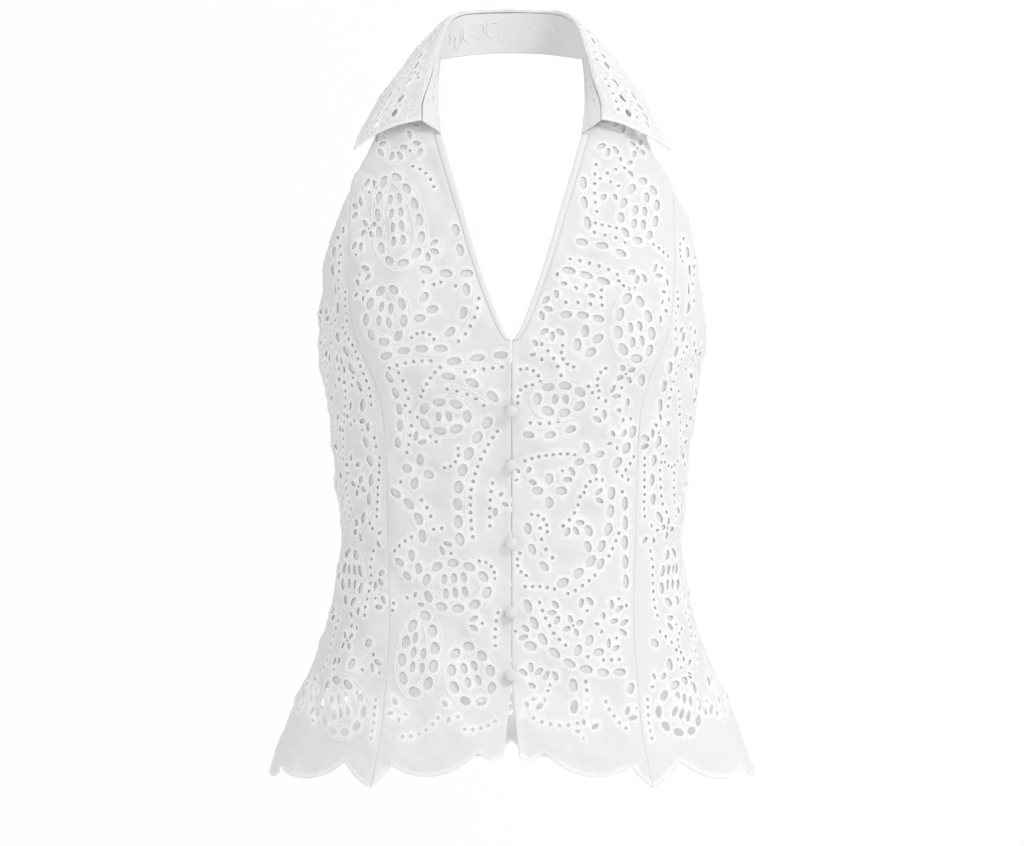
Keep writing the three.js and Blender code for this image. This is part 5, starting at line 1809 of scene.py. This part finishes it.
CENTRE_BACK_CREASES = creases(
    (-50, 250, 96, 6.5, -1.3, 6), (-44, 228, 90, 6, 1.1, -4), (-46, 206, 104, 6.5, -1.6, 3),
    (-42, 188, 100, 6, 1.3, -3), (-48, 168, 96, 6.5, -1.4, 5), (46, 246, 92, 6.5, -1.2, -7),
    (42, 222, 98, 6, 1.2, 4), (48, 204, 104, 6.5, -1.5, -3), (40, 184, 96, 6, 1.2, 4),
    (46, 164, 92, 6.5, -1.4, -5), (-62, 76, 110, 9, 1.5, 88), (-22, 82, 100, 8, -1.4, 92),
    (24, 78, 104, 9, 1.3, 86), (66, 80, 110, 9, -1.5, 90), (-40, 296, 90, 8, -1.1, 20),
    (46, 292, 90, 8, -1.1, -22),
)
SIDE_BACK_CREASES = creases(
    (118, 236, 74, 6, -1.1, 6), (124, 214, 78, 6, 1.1, -5), (120, 194, 78, 6, -1.3, 3),
    (126, 172, 72, 6, 1.0, -4), (142, 80, 100, 9, -1.5, 82), (178, 76, 96, 9, 1.4, 78),
    (140, 300, 70, 7, -1.0, 24),
)


class Collar:
    """The stand round the neck and the leaf that turns down over it."""

    def __init__(self, form: CollarForm) -> None:
        """Keeps the form.

        Args:
            form: roll line, stand and leaf.
        """
        self.form = form

    def _stand_place(self, x: Array, y: Array, out: Array) -> Array:
        """Point of the stand, y up from its seam."""
        return self.form.off(self.form.stand_middle, x, STAND_FLAT - y, out, STAND_FLAT)

    def _leaf_place(self, x: Array, y: Array, out: Array) -> Array:
        """Point of the leaf, y below 0 down from the roll line."""
        width = self.form.leaf_section(x)[-1]
        return self.form.off(self.form.leaf_middle, x, -y, out, width)

    def build(self) -> list:
        """Builds the stand and the leaf.

        Returns:
            Tuples of a cloth, its object and its cords.
        """
        reach = self.form.reach
        rows = levels(-reach, reach, EDGE_STEP)
        foot = np.stack([rows, np.zeros(len(rows))], axis=1)
        roll = np.stack([rows[::-1], np.full(len(rows), STAND_FLAT)], axis=1)
        ends = levels(0, STAND_FLAT, EDGE_STEP)
        right = np.stack([np.full(len(ends), reach), ends], axis=1)
        left = np.stack([np.full(len(ends), -reach), ends[::-1]], axis=1)
        sections = [(Edge.SEAM, foot), (Edge.PLAIN, right), (Edge.PLAIN, roll), (Edge.PLAIN, left)]
        border, kinds = joined(sections)
        stand = Cloth("collar_stand", border, kinds, self._stand_place, [], (), 41, 0.35, *STRIP_FACES)
        work = Embroidery(border, 1.6)
        spots = np.arange(-reach + 9, reach - 8, 11.5)
        work.swirls([(x, STAND_FLAT / 2 + 3 * math.sin(x)) for x in spots], 5)
        mirrored = Cloth("inside", border, kinds, self._inside_place, [], (), 41, 0.35, *STRIP_FACES)
        made = [(stand, stand.build(), cord_piece("collar_stand_cords", mirrored, work.cords, 0.3))]
        made.append(self._leaf())
        return made

    def _inside_place(self, x: Array, y: Array, out: Array) -> Array:
        """Point off the stand's inner face."""
        return self._stand_place(x, y, -out)

    def _leaf(self) -> tuple:
        """Builds the leaf.

        Returns:
            The cloth, its object and its cords.
        """
        reach = self.form.reach
        rows = levels(-reach, reach, EDGE_STEP)
        width = self.form.leaf_section(rows)[-1]
        edge = np.stack([rows, -width], axis=1)
        roll = np.stack([rows[::-1], np.zeros(len(rows))], axis=1)
        steps = max(4, round(width[-1] / EDGE_STEP))
        right = np.stack([np.full(steps + 1, reach), np.linspace(-width[-1], 0, steps + 1)], axis=1)
        left = np.stack([np.full(steps + 1, -reach), np.linspace(0, -width[0], steps + 1)], axis=1)
        sections = [(Edge.HEM, edge), (Edge.HEM, right), (Edge.PLAIN, roll), (Edge.HEM, left)]
        border, kinds = joined(sections)
        work = Embroidery(border)
        chart = [replace(row, height=-row.height, to=(row.to[0], -row.to[1])) for row in LEAF_CHART]
        lines = []
        for side in (1, -1):
            lines += work.chart(chart, side, lambda x, _: np.sign(x) * (reach - abs(x)))
        work.dress(lines)
        work.fill(23, 7)
        columns = np.arange(-reach + 8, reach, 13)
        work.swirls([(x, -y) for x in columns for y in (7.5, 20, 32, 44) if y < 20 or abs(x) > 60], 6)
        made = (work.holes, LEAF_CREASES, 43, 0.5, *STRIP_FACES)
        cloth = Cloth("collar_leaf", border, kinds, self._leaf_place, *made)
        piece = cloth.build()
        LOG.info("collar_leaf: %d eyelets, %d faces", len(work.holes), len(piece.data.polygons))
        return cloth, piece, cord_piece("collar_leaf_cords", cloth, work.cords, 0.35)


LEAF_CREASES = creases(
    (-120, -24, 46, 6, -0.7, 80), (118, -26, 48, 6, -0.7, 100), (-60, -16, 60, 6, 0.6, 70),
    (64, -18, 60, 6, 0.6, 108),
)


class Binding:
    """The plain folded binding along each edge of the V."""

    def __init__(self, body: Body) -> None:
        """Keeps the body that it is sewn to.

        Args:
            body: the panels.
        """
        self.body = body

    def build(self) -> list:
        """Builds both bindings.

        Returns:
            Tuples of a cloth, its object and None.
        """
        made = []
        for side, word in ((1, "right"), (-1, "left")):
            border, kinds = self.body.pattern.binding(side)
            name = f"neckline_binding_{word}"
            cloth = Cloth(name, border, kinds, self.body.front, [], (), 51 + side, 0.3, 0.35, -0.75, 1.9)
            made.append((cloth, cloth.build(), None))
        return made


def deselect() -> None:
    """Leaves edit mode and deselects everything."""
    if bpy.context.object and bpy.context.object.mode != "OBJECT":
        bpy.ops.object.mode_set(mode="OBJECT")
    bpy.ops.object.select_all(action="DESELECT")


def front_frame(body: BodyForm, height: float) -> Array:
    """Place and directions of the cloth at the centre front.

    Args:
        body: the form.
        height: height above the hem.

    Returns:
        Rows: the place, right, up and out.
    """
    turn, level = np.zeros(1), np.array([height], dtype=float)
    origin = body.cloth(turn, level, np.zeros(1))[0]
    out = body.cloth(turn, level, np.ones(1))[0] - origin
    right = unit(np.array([1.0, 0, 0]) - out * out[0])
    return np.array([origin, right, np.cross(out, right), out])


@dataclass
class Closure:
    """The five covered ball buttons and their rouleau loops, from the foot of the V down."""

    body: BodyForm
    heights: Sequence[float] = BUTTON_HEIGHTS

    def build(self) -> list:
        """Builds every button and loop.

        Returns:
            Pairs of an object and its node.
        """
        made = []
        for number, height in enumerate(self.heights, 1):
            frame_rows = front_frame(self.body, height)
            made.append((self._button(f"covered_button_{number}", frame_rows), f"button_{number}"))
            made.append((self._loop(f"rouleau_loop_{number}", frame_rows), f"button_loop_{number}"))
        return made

    def _moved(self, piece: bpy.types.Object, rows: Array) -> bpy.types.Object:
        """Moves a modelled piece from its own frame to the centre front.

        Args:
            piece: piece modelled about the origin with +Y up and +Z out, in millimetres.
            rows: place and directions.

        Returns:
            The piece, with its object at the origin.
        """
        mesh = piece.data
        points = np.zeros(len(mesh.vertices) * 3)
        mesh.vertices.foreach_get("co", points)
        points = points.reshape(-1, 3)
        placed = (rows[0] + points @ rows[1:] - NECK_HOLD) / 1000
        mesh.vertices.foreach_set("co", placed.ravel())
        piece.matrix_world.identity()
        mesh.polygons.foreach_set("use_smooth", [True] * len(mesh.polygons))
        mesh.update()
        return piece

    def _button(self, name: str, rows: Array) -> bpy.types.Object:
        """Builds a button: a ball under cloth that is gathered behind it, on a short shank.

        Args:
            name: name of the piece.
            rows: place and directions.

        Returns:
            The new object.
        """
        radius, depth = BUTTON["radius"], BUTTON["half_depth"]
        deselect()
        bpy.ops.mesh.primitive_uv_sphere_add(segments=48, ring_count=26, radius=radius)
        piece = bpy.context.object
        piece.name = piece.data.name = name
        bpy.ops.transform.resize(value=(1, 1, depth / radius))
        bpy.ops.object.transform_apply(location=False, rotation=False, scale=True)
        bpy.ops.object.mode_set(mode="EDIT")
        bpy.ops.mesh.select_all(action="DESELECT")
        bpy.ops.object.mode_set(mode="OBJECT")
        for face in piece.data.polygons:
            middle = face.center
            face.select = middle.z < 0 and math.hypot(middle.x, middle.y) < BUTTON["shank"] * 1.1
        bpy.ops.object.mode_set(mode="EDIT")
        lift = -(BUTTON["stand_off"] - depth)
        bpy.ops.mesh.extrude_region_move(TRANSFORM_OT_translate={"value": (0, 0, lift)})
        bpy.ops.object.mode_set(mode="OBJECT")
        for vertex in piece.data.vertices:
            x, y, z = vertex.co
            reach = math.hypot(x, y)
            share = np.clip(-z / depth, 0, 1) * np.clip(reach / radius, 0, 1)
            fold = 1 + 0.045 * share * math.cos(12 * math.atan2(y, x)) + 0.004 * math.sin(5 * x + 3 * y)
            vertex.co = (x * fold, y * fold, z + BUTTON["stand_off"])
        return self._moved(piece, rows)

    def _loop(self, name: str, rows: Array) -> bpy.types.Object:
        """Builds a loop: a thin tube of cloth from the fold of the front round the button's shank.

        Args:
            name: name of the piece.
            rows: place and directions.

        Returns:
            The new object.
        """
        deselect()
        bpy.ops.curve.primitive_bezier_curve_add()
        curve = bpy.context.object
        spline = curve.data.splines[0]
        reach, bend = LOOP["reach"], LOOP["bend"]
        line = [(-reach, bend, 0.5), (-1.4, bend * 0.98, 1.3), (1.7, 0, 1.5), (-1.4, -bend * 0.98, 1.3)]
        line.append((-reach, -bend, 0.5))
        spline.bezier_points.add(len(line) - 2)
        for point, spot in zip(spline.bezier_points, line):
            point.co = spot
            point.handle_left_type = point.handle_right_type = "AUTO"
        curve.data.bevel_depth = LOOP["radius"]
        curve.data.bevel_resolution = 4
        curve.data.use_fill_caps = True
        curve.data.resolution_u = 10
        bpy.ops.object.convert(target="MESH")
        piece = bpy.context.object
        piece.name = piece.data.name = name
        return self._moved(piece, rows)


def linear(code: str) -> tuple:
    """Linear colour of an sRGB hex code.

    Args:
        code: six hex digits after a #.

    Returns:
        Red, green, blue and 1.
    """
    parts = [int(code[k : k + 2], 16) / 255 for k in (1, 3, 5)]
    return (*[c / 12.92 if c <= 0.04045 else ((c + 0.055) / 1.055) ** 2.4 for c in parts], 1.0)


def add_node(
    tree: bpy.types.NodeTree, kind: str, inputs: Optional[dict] = None, **settings
) -> bpy.types.Node:
    """Adds a shader node, sets it and joins its inputs.

    Args:
        tree: the node tree.
        kind: type of the node, without its prefix.
        inputs: value or output socket of each input.
        settings: the node's own options.

    Returns:
        The node.
    """
    node = tree.nodes.new(f"ShaderNode{kind}")
    for key, value in settings.items():
        setattr(node, key, value)
    for key, value in (inputs or {}).items():
        if isinstance(value, bpy.types.NodeSocket):
            tree.links.new(value, node.inputs[key])
        else:
            node.inputs[key].default_value = value
    return node


@dataclass(frozen=True)
class CottonFinish:
    """White woven cotton, with satin stitches where the attribute says."""

    name: str
    colour: str
    shade: str
    stitch: str = "#fdfdfd"
    roughness: float = 0.86
    weave: float = 0.05
    pucker: float = 1.1
    translucency: float = 0.16

    def build(self) -> bpy.types.Material:
        """Builds the material.

        Returns:
            The material.
        """
        material = bpy.data.materials.new(self.name)
        material.use_nodes = True
        tree = material.node_tree
        tree.nodes.clear()
        place = add_node(tree, "TexCoord").outputs["Object"]
        flat = add_node(tree, "UVMap", uv_map="cloth").outputs["UV"]
        stitched = add_node(tree, "Attribute", attribute_name="satin").outputs["Fac"]
        slub = add_node(tree, "Mapping", {"Vector": flat, "Scale": (90, 1100, 1)}).outputs["Vector"]
        threads = add_node(tree, "TexNoise", {"Vector": slub, "Scale": 1.0, "Detail": 3.0})
        weft = add_node(tree, "Mapping", {"Vector": flat, "Scale": (1100, 90, 1)}).outputs["Vector"]
        cross = add_node(tree, "TexNoise", {"Vector": weft, "Scale": 1.0, "Detail": 3.0})
        soft = add_node(tree, "TexNoise", {"Vector": place, "Scale": 160.0, "Detail": 5.0})
        woven = add_node(tree, "Math", {0: threads.outputs[0], 1: cross.outputs[0]}, operation="ADD")
        rough = add_node(tree, "Math", {0: woven.outputs[0], 1: soft.outputs[0]}, operation="ADD")
        crinkled = add_node(tree, "Mapping", {"Vector": flat, "Scale": (70, 230, 1)}).outputs["Vector"]
        small = add_node(tree, "TexNoise", {"Vector": crinkled, "Scale": 1.0, "Detail": 3.0})
        pucker = add_node(
            tree,
            "Bump",
            {"Height": small.outputs[0], "Strength": 0.6, "Distance": self.pucker / 1000},
        ).outputs[0]
        bump = add_node(
            tree,
            "Bump",
            {"Height": rough.outputs[0], "Strength": 0.55, "Distance": self.weave / 1000, "Normal": pucker},
        ).outputs[0]
        tone = add_node(tree, "TexNoise", {"Vector": place, "Scale": 22.0, "Detail": 3.0}).outputs[0]
        colour = add_node(
            tree, "Mix", {0: tone, 6: linear(self.colour), 7: linear(self.shade)}, data_type="RGBA"
        ).outputs[2]
        colour = add_node(
            tree, "Mix", {0: stitched, 6: colour, 7: linear(self.stitch)}, data_type="RGBA"
        ).outputs[2]
        sheen = add_node(
            tree,
            "Math",
            {0: stitched, 1: -0.2, 2: self.roughness},
            operation="MULTIPLY_ADD",
        ).outputs[0]
        surface = add_node(
            tree,
            "BsdfPrincipled",
            {"Base Color": colour, "Roughness": sheen, "Normal": bump, "Sheen Weight": 0.12},
        )
        surface.inputs["Specular IOR Level"].default_value = 0.3
        through = add_node(tree, "BsdfTranslucent", {"Color": colour, "Normal": bump})
        mixed = add_node(
            tree, "MixShader", {0: self.translucency, 1: surface.outputs[0], 2: through.outputs[0]}
        )
        add_node(tree, "OutputMaterial", {"Surface": mixed.outputs[0]})
        return material


EYELET_COTTON = CottonFinish("eyelet_cotton", "#f5f4f3", "#f1f0ef")
LINING_COTTON = CottonFinish("lining_cotton", "#f5f4f3", "#f2f1f0", weave=0.03, pucker=0.2, translucency=0.3)
COVERED_TRIM = CottonFinish("covered_trim", "#f0eeec", "#e9e7e4", roughness=0.8, weave=0.04, pucker=0.1)


@dataclass(frozen=True)
class Studio:
    """Camera, lights and floor."""

    place: tuple = (0.0004, -2.8146, -0.283)
    lens: float = 126.4
    shift: float = -0.0314
    floor: float = -1.05
    sky: float = 0.86
    sky_lean: tuple = (0.12, 0.14, 0.02)

    def build(self) -> None:
        """Sets up the studio."""
        scene = bpy.context.scene
        data = bpy.data.cameras.new("camera")
        data.lens, data.sensor_width, data.shift_y = self.lens, 36.0, self.shift
        camera = bpy.data.objects.new("camera", data)
        camera.location = self.place
        camera.rotation_euler = (math.pi / 2, 0, 0)
        scene.collection.objects.link(camera)
        scene.camera = camera
        world = bpy.data.worlds.new("studio")
        world.use_nodes = True
        tree = world.node_tree
        tree.nodes.clear()
        way = add_node(tree, "TexCoord").outputs["Generated"]
        lean = add_node(tree, "VectorMath", {0: way, 1: self.sky_lean}, operation="DOT_PRODUCT")
        glow = add_node(tree, "Math", {0: lean.outputs["Value"], 1: self.sky}, operation="ADD")
        light = add_node(tree, "Background", {"Color": (1, 1, 1, 1), "Strength": glow.outputs[0]})
        add_node(tree, "OutputWorld", {"Surface": light.outputs[0]})
        scene.world = world
        scene.view_settings.view_transform = "Standard"
        self._lamp("key", (1.5, -2.0, 1.3), 0.7, 23)
        self._lamp("fill", (-1.6, -1.9, 0.3), 1.4, 2)
        self._floor()

    def _lamp(self, name: str, place: tuple, size: float, power: float) -> None:
        """Adds a soft lamp that faces the top.

        Args:
            name: name of the lamp.
            place: where it stands.
            size: side of its square.
            power: power in watts.
        """
        data = bpy.data.lights.new(name, "AREA")
        data.size, data.energy = size, power
        lamp = bpy.data.objects.new(name, data)
        lamp.location = place
        aim = Vector((0, 0, -0.28)) - Vector(place)
        lamp.rotation_euler = aim.to_track_quat("-Z", "Y").to_euler()
        bpy.context.scene.collection.objects.link(lamp)

    def _floor(self) -> None:
        """Adds a plain pale floor."""
        deselect()
        bpy.ops.mesh.primitive_circle_add(vertices=96, radius=3.0, fill_type="NGON")
        floor = bpy.context.object
        floor.name = "floor"
        floor.location = (0, 0, self.floor)
        material = bpy.data.materials.new("floor")
        material.use_nodes = True
        surface = material.node_tree.nodes["Principled BSDF"]
        surface.inputs["Base Color"].default_value = linear("#fafafa")
        surface.inputs["Roughness"].default_value = 0.9
        floor.data.materials.append(material)


def main() -> None:
    """Builds the garment, piece by piece."""
    logging.basicConfig(level=logging.INFO, format="%(message)s")
    finishes = {finish.name: finish.build() for finish in (EYELET_COTTON, LINING_COTTON, COVERED_TRIM)}
    form = BodyForm()
    body = Body(form)
    for cloth, piece, cords in [*body.build(), *Binding(body).build(), *Collar(CollarForm(form)).build()]:
        for part in (piece, cords):
            if part is None:
                continue
            part.data.materials.append(finishes[cloth.slot])
            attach(part, "root")
        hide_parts(cloth.name)
        cloth.size()
        cloth.area()
        LOG.info("%s: cut %.3f x %.3f m, %.4f m2", cloth.name, *cloth.size(), cloth.area())
    for piece, node in Closure(form).build():
        piece.data.materials.append(finishes["covered_trim"])
        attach(piece, "root")
        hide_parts(node)
        LOG.info("%s: %d faces", piece.name, len(piece.data.polygons))
    Studio().build()


if __name__ == "__main__":
    main()
